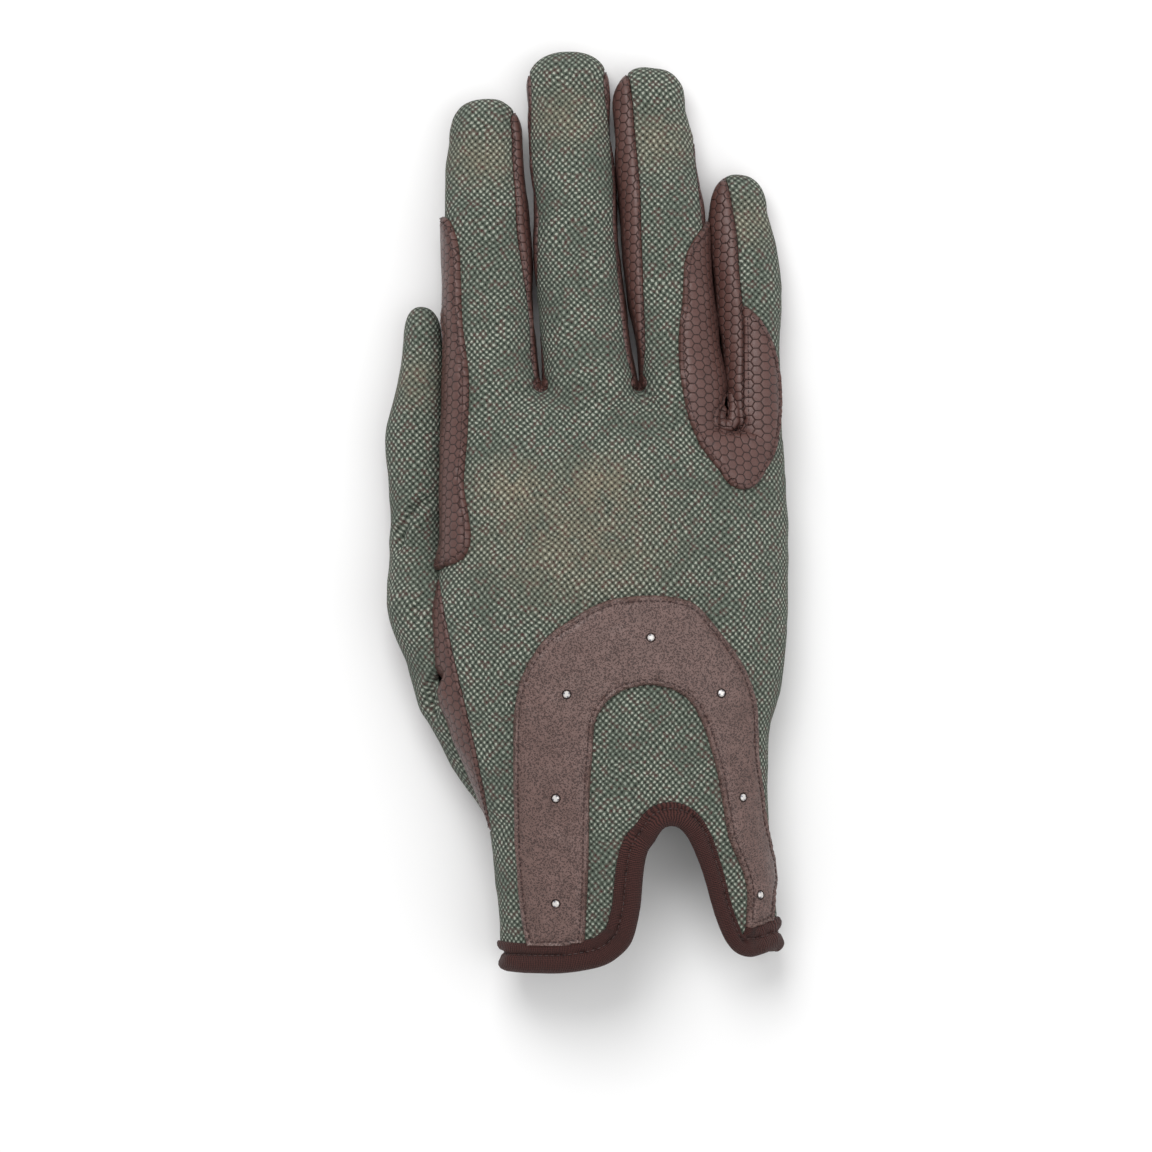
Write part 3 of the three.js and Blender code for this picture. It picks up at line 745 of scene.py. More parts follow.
def line_distance(p: Array, line: Array) -> tuple[Array, Array, Array]:
    """Distance of points from a line in plan.

    Args:
        p: points.
        line: the line's corners.

    Returns:
        The distance, the distance along the line, and +1 on the line's left or -1 on its right.
    """
    best = np.full(len(p), 1e9)
    along = np.zeros(len(p))
    side = np.ones(len(p))
    start = 0.0
    for a, b in zip(line[:-1, :2], line[1:, :2]):
        edge = b - a
        length = float(np.hypot(*edge))
        offset = p[:, :2] - a
        t = np.clip(offset @ edge / max(length**2, 1e-12), 0, 1)
        d = np.hypot(*(offset - t[:, None] * edge).T)
        nearer = d < best - 1e-9
        best = np.where(nearer, d, best)
        along = np.where(nearer, start + t * length, along)
        cross = edge[0] * offset[:, 1] - edge[1] * offset[:, 0]
        side = np.where(nearer, np.sign(cross), side)
        start += length
    return best, along, np.where(side == 0, 1.0, side)


def inside_outline(p: Array, outline: Array) -> Array:
    """Distance in plan from an outline's edge, positive inside.

    Args:
        p: points in mm.
        outline: the outline's corners.

    Returns:
        One distance per point.
    """
    best, _, _ = line_distance(p, np.concatenate([outline, outline[:1]]))
    x, y = p[:, 0], p[:, 1]
    within = np.zeros(len(p), bool)
    for (ax, ay), (bx, by) in zip(outline[:, :2], np.roll(outline[:, :2], -1, axis=0)):
        spans = (ay > y) != (by > y)
        at = ax + (y - ay) * (bx - ax) / (by - ay if by != ay else 1e-9)
        within ^= spans & (x < at)
    return np.where(within, best, -best)


def above(p: Array, seam: Sequence[Sequence[float]]) -> Array:
    """How far points lie above a seam that leans from left to right.

    Args:
        p: points in mm.
        seam: y and the heights to the left and right.

    Returns:
        One height per point.
    """
    y, left, right = np.array(seam, float).T
    low, high = np.interp(p[:, 1], y, left), np.interp(p[:, 1], y, right)
    share = (p[:, 0] + SEAM_REACH) / (2 * SEAM_REACH)
    return p[:, 2] - low - (high - low) * share


def line_run(line: Array) -> Array:
    """The distance along a line at each of its corners."""
    return np.concatenate([[0.0], np.cumsum(np.hypot(*np.diff(line[:, :2], axis=0).T))])


def cuff_line(spread: float) -> Array:
    """The cuff's edge with its notch opened further by a spread.

    Args:
        spread: how much wider and higher the notch is.

    Returns:
        The line from left to right.
    """
    line = np.array(CUFF_EDGE, float)
    line[:, 0] = NOTCH_MIDDLE + (line[:, 0] - NOTCH_MIDDLE) * (NOTCH_HALF + spread) / NOTCH_HALF
    line[:, 1] = CUFF_Y + (line[:, 1] - CUFF_Y) * (NOTCH_HEIGHT + spread) / NOTCH_HEIGHT
    fine = smooth_line(line, False)
    ends = np.array([[-60.0, fine[0, 1]], [70.0, fine[-1, 1]]])
    return np.concatenate([ends[:1], fine, ends[1:]])


CUFF_BACK, CUFF_PALM = cuff_line(0.0), cuff_line(PALM_SPREAD)


def from_cuff(p: Array) -> tuple[Array, Array, Array]:
    """Distance into the glove from the cuff's edge, the distance along that edge, and its x.

    Args:
        p: points in mm.

    Returns:
        The three values of each point.
    """
    back, along, side = line_distance(p, CUFF_BACK)
    palm, palm_along, palm_side = line_distance(p, CUFF_PALM)
    share = smoothstep(SIDE_HEIGHT - 2.5, SIDE_HEIGHT + 2.5, p[:, 2])
    at = np.interp(along, line_run(CUFF_BACK), CUFF_BACK[:, 0])
    foot = CUFF_BACK[CUFF_BACK[:, 0] > 37.5]
    straight = p[:, 1] - np.interp(p[:, 0], foot[:, 0], foot[:, 1])
    on_foot = smoothstep(37.8, 39.4, p[:, 0]) * (p[:, 1] < -90)
    back = back * side * (1 - on_foot) + straight * on_foot
    at = at * (1 - on_foot) + p[:, 0] * on_foot
    palm_at = np.interp(palm_along, line_run(CUFF_PALM), CUFF_PALM[:, 0])
    return (
        back * share + palm * palm_side * (1 - share),
        along * share + palm_along * (1 - share),
        at * share + palm_at * (1 - share),
    )


# Panels and their shells


@dataclass(frozen=True)
class Side:
    """The leather side of a finger, from its edge on the back round to the palm."""

    finger: Tube
    direction: int
    edge: str

    def beyond(self, p: Array) -> Array:
        """How far points lie within the leather.

        Args:
            p: points in mm.

        Returns:
            One distance per point, positive inside.
        """
        line = smooth_line(LEATHER_EDGES[self.edge], False)
        order = np.argsort(line[:, 1])
        x = np.interp(p[:, 1], line[order, 1], line[order, 0])
        return np.minimum(self.direction * (p[:, 0] - x), line[:, 1].max() - p[:, 1])


@dataclass(frozen=True)
class Fourchette:
    """The leather between two fingers: their sides and the round end at their web."""

    name: str
    left: Side
    right: Side
    middle: tuple[float, float]
    radius: float

    def field(self, p: Array) -> Array:
        """Distance into the leather, on the surface of the hand.

        Args:
            p: points in mm.

        Returns:
            One distance per point, positive inside.
        """
        owner = finger_distances(p).argmin(axis=0)
        on_left = owner == FINGERS.index(self.left.finger)
        on_right = owner == FINGERS.index(self.right.finger)
        side = np.where(on_left, self.left.beyond(p), np.where(on_right, self.right.beyond(p), -9.0))
        side = np.minimum(side, p[:, 1] - self.middle[1])
        end = self.radius - np.hypot(p[:, 0] - self.middle[0], p[:, 1] - self.middle[1])
        return np.maximum(side, end)


FOURCHETTES = (
    Fourchette(
        "fourchette_index_middle", Side(INDEX, 1, "index_right"), Side(MIDDLE, -1, "middle_left"),
        (-11.4, 31.2), 1.6,
    ),
    Fourchette(
        "fourchette_middle_ring", Side(MIDDLE, 1, "middle_right"), Side(RING, -1, "ring_left"),
        (13.1, 31.6), 1.7,
    ),
    Fourchette(
        "fourchette_ring_little", Side(RING, 1, "ring_right"), Side(LITTLE, -1, "little_left"),
        (35.6, 22.4), 4.0,
    ),
)


def unroll(surface: Surface, up: float = 1.0, rounds: int = 300) -> Array:
    """Lay a panel flat with as little stretch as least squares allow.

    Args:
        surface: the panel, with its normals.
        up: 1 for a panel that faces up, -1 for one that faces down.
        rounds: steps of the solver.

    Returns:
        Flat places of the points in mm.
    """
    flip = np.array([1.0, 1.0, up])
    p, n = surface.points * flip, surface.data["normal"] * flip
    t = surface.triangles
    edges = np.unique(np.sort(np.concatenate([t[:, :2], t[:, 1:], t[:, [2, 0]]]), axis=1), axis=0)
    i, j = edges.T
    e = p[j] - p[i]
    m = n[i] + n[j]
    m /= np.maximum(np.linalg.norm(m, axis=1, keepdims=True), 1e-9)
    tip = np.maximum(1 + m[:, 2], 0.25)
    cross = -m[:, 0] * m[:, 1] / tip
    du = e[:, 0] * (1 - m[:, 0] ** 2 / tip) + e[:, 1] * cross - e[:, 2] * m[:, 0]
    dv = e[:, 0] * cross + e[:, 1] * (1 - m[:, 1] ** 2 / tip) - e[:, 2] * m[:, 1]
    count = len(p)
    degree = np.bincount(i, minlength=count) + np.bincount(j, minlength=count)
    out = []
    for target, start in ((du, p[:, 0]), (dv, p[:, 1])):
        def apply(x: Array) -> Array:
            """What the edges' differences in x add up to at each point."""
            d = x[j] - x[i]
            return np.bincount(j, d, count) - np.bincount(i, d, count)

        right = np.bincount(j, target, count) - np.bincount(i, target, count)
        x = start.copy()
        r = right - apply(x)
        z = r / degree
        q, rz = z.copy(), float(r @ z)
        for _ in range(rounds):
            aq = apply(q)
            alpha = rz / max(float(q @ aq), 1e-20)
            x += alpha * q
            r -= alpha * aq
            z = r / degree
            fresh = float(r @ z)
            if fresh < 1e-12:
                break
            q, rz = z + fresh / rz * q, fresh
        out.append(x)
    return np.column_stack(out)


@dataclass
class Shell:
    """A closed shell of cloth or leather over a surface."""

    points: Array
    faces: list[tuple[int, ...]]
    flat: Array


def shell(surface: Surface, top: Array, bottom: Array, flat: Array) -> Shell:
    """Thicken a surface.

    Args:
        surface: the middle, with its normals.
        top: height of the outer face over each point.
        bottom: height of the inner face over each point.
        flat: flat places of the points in mm.

    Returns:
        The closed shell.
    """
    normal = surface.data["normal"]
    normal = normal / np.maximum(np.linalg.norm(normal, axis=1, keepdims=True), 1e-9)
    outer = surface.points + normal * top[:, None]
    inner = surface.points + normal * bottom[:, None]
    count = len(outer)
    rim = surface.border()
    faces = [tuple(t) for t in surface.triangles.tolist()]
    faces += [tuple(t) for t in (surface.triangles[:, ::-1] + count).tolist()]
    faces += [(b, a, a + count, b + count) for a, b in rim.tolist()]
    return Shell(np.concatenate([outer, inner]), faces, np.concatenate([flat, flat]))


def rounded(distance: Array, radius: float, drop: float) -> Array:
    """A quarter-round edge: -drop at the rim and 0 from radius inwards."""
    t = np.clip(distance / radius, 0, 1)
    return -drop * (1 - np.sqrt(1 - (1 - t) ** 2))


def mesh_object(name: str, made: Shell, material: bpy.types.Material) -> bpy.types.Object:
    """A Blender object of a shell.

    Args:
        name: the piece's name.
        made: the shell in mm.
        material: its finish.

    Returns:
        The object, at the origin, with its flat places as a UV map in metres.
    """
    mesh = bpy.data.meshes.new(name)
    mesh.from_pydata((made.points * MM).tolist(), [], made.faces)
    mesh.update()
    layer = mesh.uv_layers.new(name="flat")
    corner = np.empty(len(mesh.loops), np.int64)
    mesh.loops.foreach_get("vertex_index", corner)
    layer.data.foreach_set("uv", (made.flat[corner] * MM).ravel())
    mesh.shade_smooth()
    mesh.set_sharp_from_angle(angle=math.radians(62))
    mesh.materials.append(material)
    piece = bpy.data.objects.new(name, mesh)
    bpy.context.scene.collection.objects.link(piece)
    return piece


# Finishes


def srgb(red: float, green: float, blue: float) -> tuple[float, float, float, float]:
    """A colour from its 0-255 screen values.

    Args:
        red: the red value.
        green: the green value.
        blue: the blue value.

    Returns:
        The linear colour with its alpha.
    """
    linear = []
    for value in (red, green, blue):
        share = value / 255
        linear.append(share / 12.92 if value <= 10 else ((share + 0.055) / 1.055) ** 2.4)
    return (*linear, 1.0)


class Graph:
    """Adds nodes to a tree and wires them."""

    def __init__(self, tree: bpy.types.NodeTree) -> None:
        """Keep the tree."""
        self.tree = tree

    def add(self, kind: str, inputs: dict | None = None, **settings: object) -> bpy.types.Node:
        """A node with its settings, and its inputs as values or sockets.

        Args:
            kind: the node's type.
            inputs: values or sockets for its inputs.
            settings: its other settings.

        Returns:
            The node.
        """
        node = self.tree.nodes.new(kind)
        for key, value in settings.items():
            setattr(node, key, value)
        for key, value in (inputs or {}).items():
            self.feed(node.inputs[key], value)
        return node

    def feed(self, socket: bpy.types.NodeSocket, value: object) -> None:
        """Link a socket or set its value."""
        if isinstance(value, bpy.types.NodeSocket):
            self.tree.links.new(value, socket)
        else:
            socket.default_value = value

    def math(self, operation: str, *values: object, clamp: bool = False) -> bpy.types.NodeSocket:
        """The result of a math node.

        Args:
            operation: what it does.
            values: its inputs.
            clamp: whether the result stays between 0 and 1.

        Returns:
            Its output.
        """
        node = self.tree.nodes.new("ShaderNodeMath")
        node.operation, node.use_clamp = operation, clamp
        for socket, value in zip(node.inputs, values):
            self.feed(socket, value)
        return node.outputs[0]

    def vector(self, operation: str, *values: object, out: str = "Vector") -> bpy.types.NodeSocket:
        """The result of a vector math node.

        Args:
            operation: what it does.
            values: its inputs.
            out: the name of its output.

        Returns:
            That output.
        """
        node = self.tree.nodes.new("ShaderNodeVectorMath")
        node.operation = operation
        for key, value in enumerate(values):
            if operation == "SCALE" and key == 1:
                self.feed(node.inputs["Scale"], value)
            else:
                self.feed(node.inputs[key], value)
        return node.outputs[out]

    def mix(self, share: object, a: object, b: object, blend: str = "MIX") -> bpy.types.NodeSocket:
        """Two colours mixed.

        Args:
            share: how much of the second shows.
            a: the first colour.
            b: the second colour.
            blend: the way of mixing.

        Returns:
            The mixed colour.
        """
        node = self.tree.nodes.new("ShaderNodeMix")
        node.data_type, node.blend_type = "RGBA", blend
        self.feed(node.inputs[0], share)
        self.feed(node.inputs[6], a)
        self.feed(node.inputs[7], b)
        return node.outputs[2]

    def step(self, low: float, high: float, value: object) -> bpy.types.NodeSocket:
        """0 below low, 1 above high, smooth between; falling if low is above high.

        Args:
            low: where it is 0.
            high: where it is 1.
            value: the value.

        Returns:
            The stepped value.
        """
        falling = low > high
        inputs = {0: value, 1: min(low, high), 2: max(low, high), 3: float(falling), 4: float(not falling)}
        return self.add("ShaderNodeMapRange", inputs, interpolation_type="SMOOTHSTEP").outputs[0]

    def noise(
        self, where: object, scale: float, detail: float = 2.0, rough: float = 0.5
    ) -> bpy.types.NodeSocket:
        """Noise from 0 to 1 with features of 1/scale.

        Args:
            where: the place.
            scale: fineness.
            detail: number of finer layers.
            rough: weight of the finer layers.

        Returns:
            The noise.
        """
        inputs = {"Vector": where, "Scale": scale, "Detail": detail, "Roughness": rough}
        return self.add("ShaderNodeTexNoise", inputs).outputs[0]


class Slot(Enum):
    """The part's material slots."""

    MESH = "mesh_fabric"
    SCALES = "scale_leather"
    SMOOTH = "smooth_leather"
    TAPE = "binding_tape"
    STONE = "crystal"


@dataclass(frozen=True)
class Finish:
    """A finish: its name, base colours, roughness, relief in mm and sheen."""

    name: str
    light: tuple[float, float, float, float]
    dark: tuple[float, float, float, float]
    roughness: float
    relief: float
    sheen: float = 0.0


# the knit's dark colour is the painted shade in its holes
MESH = Finish("mesh_green", srgb(184, 190, 176), srgb(30, 33, 29), 0.9, 0.35, 0.05)
SCALES = Finish("scale_leather_brown", srgb(80, 53, 48), srgb(50, 32, 29), 0.38, 0.24)
GRAIN = Finish("grain_leather_brown", srgb(98, 75, 70), srgb(44, 29, 27), 0.42, 0.16)
TAPE = Finish("tape_dark_brown", srgb(74, 43, 39), srgb(24, 12, 11), 0.85, 0.2, 0.05)
THREAD = Finish("thread_brown", srgb(66, 42, 39), srgb(38, 23, 22), 0.6, 0.1, 0.05)


def begin(finish: Finish) -> tuple[bpy.types.Material, Graph, bpy.types.Node]:
    """A material with a Principled shader.

    Args:
        finish: the finish.

    Returns:
        The material, its graph and its shader.
    """
    material = bpy.data.materials.new(finish.name)
    material.use_nodes = True
    graph = Graph(material.node_tree)
    shader = material.node_tree.nodes["Principled BSDF"]
    shader.inputs["Specular IOR Level"].default_value = 0.2 if finish.roughness > 0.6 else 0.45
    return material, graph, shader


def flat_mm(graph: Graph) -> bpy.types.NodeSocket:
    """The flat place in millimetres."""
    place = graph.add("ShaderNodeUVMap", uv_map="flat").outputs[0]
    return graph.vector("SCALE", place, 1000.0)


def knitted(finish: Finish) -> bpy.types.Material:
    """Open knitted mesh: nubs on a staggered lattice with holes between them, painted dark and in places
    reddish as painted shade of the inside seen through them.

    Args:
        finish: the finish.

    Returns:
        The material.
    """
    material, g, shader = begin(finish)
    flat = flat_mm(g)
    solid = g.vector("SCALE", g.add("ShaderNodeTexCoord").outputs["Object"], 1000.0)
    drift = g.add("ShaderNodeTexNoise", {"Vector": solid, "Scale": 0.12, "Detail": 2.0}).outputs[1]
    shift = g.vector("SCALE", g.vector("SUBTRACT", drift, (0.5, 0.5, 0.5)), 2.4)
    jitter = g.add("ShaderNodeTexNoise", {"Vector": flat, "Scale": 0.7, "Detail": 1.0}).outputs[1]
    shift = g.vector("ADD", shift, g.vector("SCALE", g.vector("SUBTRACT", jitter, (0.5, 0.5, 0.5)), 0.55))
    place = g.add("ShaderNodeSeparateXYZ", {0: g.vector("ADD", flat, shift)})
    wave_u = g.math("COSINE", g.math("MULTIPLY", place.outputs[0], 2 * math.pi / 1.66))
    wave_v = g.math("COSINE", g.math("MULTIPLY", place.outputs[1], 2 * math.pi / 1.72))
    lattice = g.math("MULTIPLY", wave_u, wave_v)
    fine = g.noise(flat, 3.2, 3.0, 0.65)
    height = g.math("ADD", lattice, g.math("MULTIPLY", g.math("SUBTRACT", fine, 0.5), 2.2))
    nub = g.step(0.15, 0.85, height)
    ground = g.step(-0.95, -0.45, height)
    patchy = g.noise(solid, 0.11, 3.0, 0.6)
    red = g.step(0.5, 0.62, g.noise(flat, 0.45, 2.0))
    # painted shade: the holes, where the inside shows through, painted near black and in places dark red
    hole = g.mix(red, finish.dark, srgb(74, 42, 42))
    between = g.mix(red, srgb(94, 103, 91), srgb(108, 94, 86))
    between = g.mix(g.step(0.3, 0.7, fine), between, srgb(66, 73, 64))
    light = g.mix(g.step(0.35, 0.7, patchy), finish.light, srgb(134, 144, 132))
    # painted highlight: the knit's nubs and ground made lighter and warmer over the knuckles, the back's
    # middle and the fingertips
    highlight_mask = painted_highlight_spots(g, solid)
    light = g.mix(highlight_mask, light, srgb(184, 176, 150))
    between = g.mix(highlight_mask, between, srgb(128, 116, 98))
    colour = g.mix(nub, g.mix(ground, hole, between), light)
    bump = g.add("ShaderNodeBump", {"Height": height, "Distance": finish.relief * MM, "Strength": 0.9})
    g.feed(shader.inputs["Base Color"], colour)
    g.feed(shader.inputs["Normal"], bump.outputs[0])
    shader.inputs["Roughness"].default_value = finish.roughness
    shader.inputs["Sheen Weight"].default_value = finish.sheen
    return material


def painted_highlight_spots(g: Graph, solid: object) -> bpy.types.NodeSocket:
    """How strongly the knit is painted lighter: painted highlight where light falls on the knuckles, the
    back's middle and the fingertips, over the knuckles also fabric stretched thin.

    Args:
        g: the material's graph.
        solid: the place in mm.

    Returns:
        0 to 1.
    """
    total: object = 0.0
    # x, y and radius in mm, and how strong the painted highlight is there
    spots = (
        (-19, 6, 15, 0.55), (4, 7, 15, 0.5), (-3, -8, 36, 0.5), (-26, 88, 16, 0.45), (-5, 98, 16, 0.45),
        (17, 92, 16, 0.45), (40, 72, 14, 0.45), (-42, 32, 14, 0.4),
    )
    squeeze = 1.4  # a spot is this much wider than high
    for x, y, radius, share in spots:
        place = g.vector("MULTIPLY", solid, (1.0, squeeze, 0.0))
        away = g.vector("DISTANCE", place, (x, y * squeeze, 0.0), out="Value")
        total = g.math("ADD", total, g.math("MULTIPLY", g.step(radius, 0.0, away), share))
    return g.math("MULTIPLY", total, g.step(0.1, 0.65, g.noise(solid, 0.3, 2.0)), clamp=True)


def scaled(finish: Finish, cell: float = 2.25) -> bpy.types.Material:
    """Leather embossed with six-sided scales.

    Args:
        finish: the finish.
        cell: width of a scale in mm.

    Returns:
        The material.
    """
    material, g, shader = begin(finish)
    flat = flat_mm(g)
    wide = cell * math.sqrt(3)
    candidates = []
    for dx, dy in ((0.0, 0.0), (wide / 2, cell / 2)):
        moved = g.vector("ADD", flat, (dx, dy, 0.0))
        folded = g.vector("WRAP", moved, (wide / 2, cell / 2, 1.0), (-wide / 2, -cell / 2, -1.0))
        candidates.append(g.vector("MULTIPLY", folded, (1.0, 1.0, 0.0)))
    first, second = (g.vector("LENGTH", c, out="Value") for c in candidates)
    chosen = g.add("ShaderNodeMix", data_type="VECTOR")
    g.feed(chosen.inputs[0], g.math("LESS_THAN", second, first))
    g.feed(chosen.inputs[4], candidates[0])
    g.feed(chosen.inputs[5], candidates[1])
    place = g.add("ShaderNodeSeparateXYZ", {0: g.vector("ABSOLUTE", chosen.outputs[1])})
    slant = g.math(
        "ADD",
        g.math("MULTIPLY", place.outputs[0], math.sqrt(3) / 2),
        g.math("MULTIPLY", place.outputs[1], 0.5),
    )
    reach = g.math("DIVIDE", g.math("MAXIMUM", place.outputs[1], slant), cell / 2)
    reach = g.math("ADD", reach, g.math("MULTIPLY", g.math("SUBTRACT", g.noise(flat, 1.2), 0.5), 0.16))
    scale = g.step(1.0, 0.84, reach)
    dome = g.math("SUBTRACT", 1.0, g.math("MULTIPLY", reach, reach))
    grain = g.noise(flat, 6.0, 3.0, 0.65)
    height = g.math("ADD", scale, g.math("MULTIPLY", dome, 0.35))
    height = g.math("ADD", height, g.math("MULTIPLY", grain, 0.22))
    mottle_and_specks = g.mix(g.step(0.35, 0.75, g.noise(flat, 0.35, 3.0)), finish.light, srgb(68, 43, 39))
    mottle_and_specks = g.mix(g.math("MULTIPLY", g.step(0.35, 0.7, grain), 0.5), mottle_and_specks, srgb(102, 72, 66))
    colour = g.mix(scale, finish.dark, mottle_and_specks)
    bump = g.add("ShaderNodeBump", {"Height": height, "Distance": finish.relief * MM, "Strength": 1.0})
    g.feed(shader.inputs["Base Color"], colour)
    g.feed(shader.inputs["Normal"], bump.outputs[0])
    rough = g.math("ADD", g.math("MULTIPLY", grain, 0.25), finish.roughness - 0.1)
    g.feed(shader.inputs["Roughness"], rough)
    return material


def grained(finish: Finish) -> bpy.types.Material:
    """Smooth leather with fine pits and fine light specks of painted highlight.

    Args:
        finish: the finish.

    Returns:
        The material.
    """
    material, g, shader = begin(finish)
    flat = flat_mm(g)
    bend = g.add("ShaderNodeTexNoise", {"Vector": flat, "Scale": 1.1, "Detail": 2.0}).outputs[1]
    bent = g.vector("ADD", flat, g.vector("SCALE", g.vector("SUBTRACT", bend, (0.5, 0.5, 0.5)), 0.6))
    pits = g.add("ShaderNodeTexVoronoi", {"Vector": bent, "Scale": 1.8}).outputs["Distance"]
    hole = g.step(0.42, 0.24, pits)
    small = g.add("ShaderNodeTexVoronoi", {"Vector": bent, "Scale": 2.7}).outputs["Distance"]
    worm = g.step(0.4, 0.24, small)
    fine = g.noise(flat, 1.3, 2.0, 0.5)
    speck = g.noise(flat, 5.0, 2.0, 0.6)
    height = g.math("SUBTRACT", g.math("MULTIPLY", fine, 0.8), g.math("MAXIMUM", hole, worm))
    mottle_and_specks = g.mix(g.step(0.3, 0.75, g.noise(flat, 0.25, 3.0)), finish.light, srgb(84, 63, 58))
    # painted highlight: fine light specks that stand for glints of light on the grain
    mottle_and_specks = g.mix(g.math("MULTIPLY", g.step(0.4, 0.7, speck), 0.45), mottle_and_specks, srgb(126, 102, 96))
    dark = g.math("MAXIMUM", g.math("MULTIPLY", hole, 0.75), g.math("MULTIPLY", worm, 0.6))
    colour = g.mix(dark, mottle_and_specks, finish.dark)
    bump = g.add("ShaderNodeBump", {"Height": height, "Distance": finish.relief * MM, "Strength": 0.9})
    g.feed(shader.inputs["Base Color"], colour)
    g.feed(shader.inputs["Normal"], bump.outputs[0])
    shader.inputs["Roughness"].default_value = finish.roughness
    return material


def ribbed(finish: Finish, pitch: float = 0.42) -> bpy.types.Material:
    """Woven tape with fine ribs across it.

    Args:
        finish: the finish.
        pitch: distance between ribs in mm.

    Returns:
        The material.
    """
    material, g, shader = begin(finish)
    flat = flat_mm(g)
    place = g.add("ShaderNodeSeparateXYZ", {0: flat})
    wobble = g.math("MULTIPLY", g.math("SUBTRACT", g.noise(flat, 0.8, 2.0), 0.5), 0.5)
    ribs = g.math("SINE", g.math("MULTIPLY", g.math("ADD", place.outputs[0], wobble), 2 * math.pi / pitch))
    threads = g.math("SINE", g.math("MULTIPLY", place.outputs[1], 2 * math.pi / 0.45))
    height = g.math("ADD", g.math("MULTIPLY", ribs, 0.5), g.math("MULTIPLY", threads, 0.2))
    height = g.math("ADD", height, g.noise(flat, 5.0, 2.0))
    colour = g.mix(g.step(-0.3, 1.1, height), finish.dark, finish.light)
    bump = g.add("ShaderNodeBump", {"Height": height, "Distance": finish.relief * MM, "Strength": 0.8})
    g.feed(shader.inputs["Base Color"], colour)
    g.feed(shader.inputs["Normal"], bump.outputs[0])
    shader.inputs["Roughness"].default_value = finish.roughness
    shader.inputs["Sheen Weight"].default_value = finish.sheen
    return material


def spun(finish: Finish) -> bpy.types.Material:
    """Sewing thread.

    Args:
        finish: the finish.

    Returns:
        The material.
    """
    material, g, shader = begin(finish)
    solid = g.vector("SCALE", g.add("ShaderNodeTexCoord").outputs["Object"], 1000.0)
    colour = g.mix(g.step(0.35, 0.65, g.noise(solid, 3.0)), finish.dark, finish.light)
    g.feed(shader.inputs["Base Color"], colour)
    shader.inputs["Roughness"].default_value = finish.roughness
    return material


def plain(name: str, colour: tuple, roughness: float, metal: float = 0.0) -> bpy.types.Material:
    """A material of one colour: a facet of a stone, a metal or the floor.

    Args:
        name: its name.
        colour: its linear colour.
        roughness: its roughness.
        metal: how metallic it is.

    Returns:
        The material.
    """
    material = bpy.data.materials.new(name)
    material.use_nodes = True
    shader = material.node_tree.nodes["Principled BSDF"]
    shader.inputs["Base Color"].default_value = colour
    shader.inputs["Roughness"].default_value = roughness
    shader.inputs["Metallic"].default_value = metal
    return material


# Stitches


@dataclass(frozen=True)
class StitchSize:
    """One row of stitches: sizes in mm."""

    pitch: float = 1.5
    length: float = 1.1
    thickness: float = 0.36
    inset: float = 1.35  # from the edge of the leather


WEB_STITCH = StitchSize(1.6, 1.0, 0.28, 0.35)
GUSSET_STITCH = StitchSize(1.5, 1.0, 0.3, 0.9)
PATCH_STITCH = StitchSize(1.15, 0.85, 0.3, 1.15)
LITTLE_STITCH = StitchSize(0.9, 0.6, 0.32)
CUFF_STITCH = StitchSize(1.5, 1.15, 0.4, 0.0)
SHORTEST, LONGEST = 0.85, 1.1  # how much shorter or longer a stitch may be
THREAD_LIFT = 0.08  # how far a thread's middle lies above the leather


def stitch_tree() -> bpy.types.GeometryNodeTree:
    """Geometry nodes that set a stitch at every pitch along a line."""
    tree = bpy.data.node_groups.new("stitches", "GeometryNodeTree")
    sockets = (
        ("Line", "NodeSocketGeometry"), ("Pitch", "NodeSocketFloat"), ("Length", "NodeSocketFloat"),
        ("Thickness", "NodeSocketFloat"), ("Seed", "NodeSocketInt"), ("Thread", "NodeSocketMaterial"),
    )
    for name, kind in sockets:
        tree.interface.new_socket(name, in_out="INPUT", socket_type=kind)
    tree.interface.new_socket("Stitches", in_out="OUTPUT", socket_type="NodeSocketGeometry")
    g = Graph(tree)
    given = g.add("NodeGroupInput").outputs
    curve = g.add("GeometryNodeMeshToCurve", {"Mesh": given["Line"]})
    steps = {"Curve": curve.outputs[0], "Length": given["Pitch"]}
    spots = g.add("GeometryNodeCurveToPoints", steps, mode="LENGTH")
    ball = g.add("GeometryNodeMeshUVSphere", {"Segments": 8, "Rings": 6, "Radius": 0.5})
    vary = g.add("FunctionNodeRandomValue", data_type="FLOAT")
    vary.inputs[2].default_value, vary.inputs[3].default_value = SHORTEST, LONGEST
    g.feed(vary.inputs["Seed"], given["Seed"])
    size = g.add("ShaderNodeCombineXYZ", {0: given["Thickness"], 1: given["Thickness"]})
    g.feed(size.inputs[2], g.math("MULTIPLY", given["Length"], vary.outputs[1]))
    placed = g.add(
        "GeometryNodeInstanceOnPoints",
        {
            "Points": spots.outputs["Points"], "Instance": ball.outputs[0],
            "Rotation": spots.outputs["Rotation"], "Scale": size.outputs[0],
        },
    )
    real = g.add("GeometryNodeRealizeInstances", {0: placed.outputs[0]})
    smooth = g.add("GeometryNodeSetShadeSmooth", {0: real.outputs[0]})
    coloured = g.add("GeometryNodeSetMaterial", {"Geometry": smooth.outputs[0], "Material": given["Thread"]})
    g.add("NodeGroupOutput", {0: coloured.outputs[0]})
    return tree


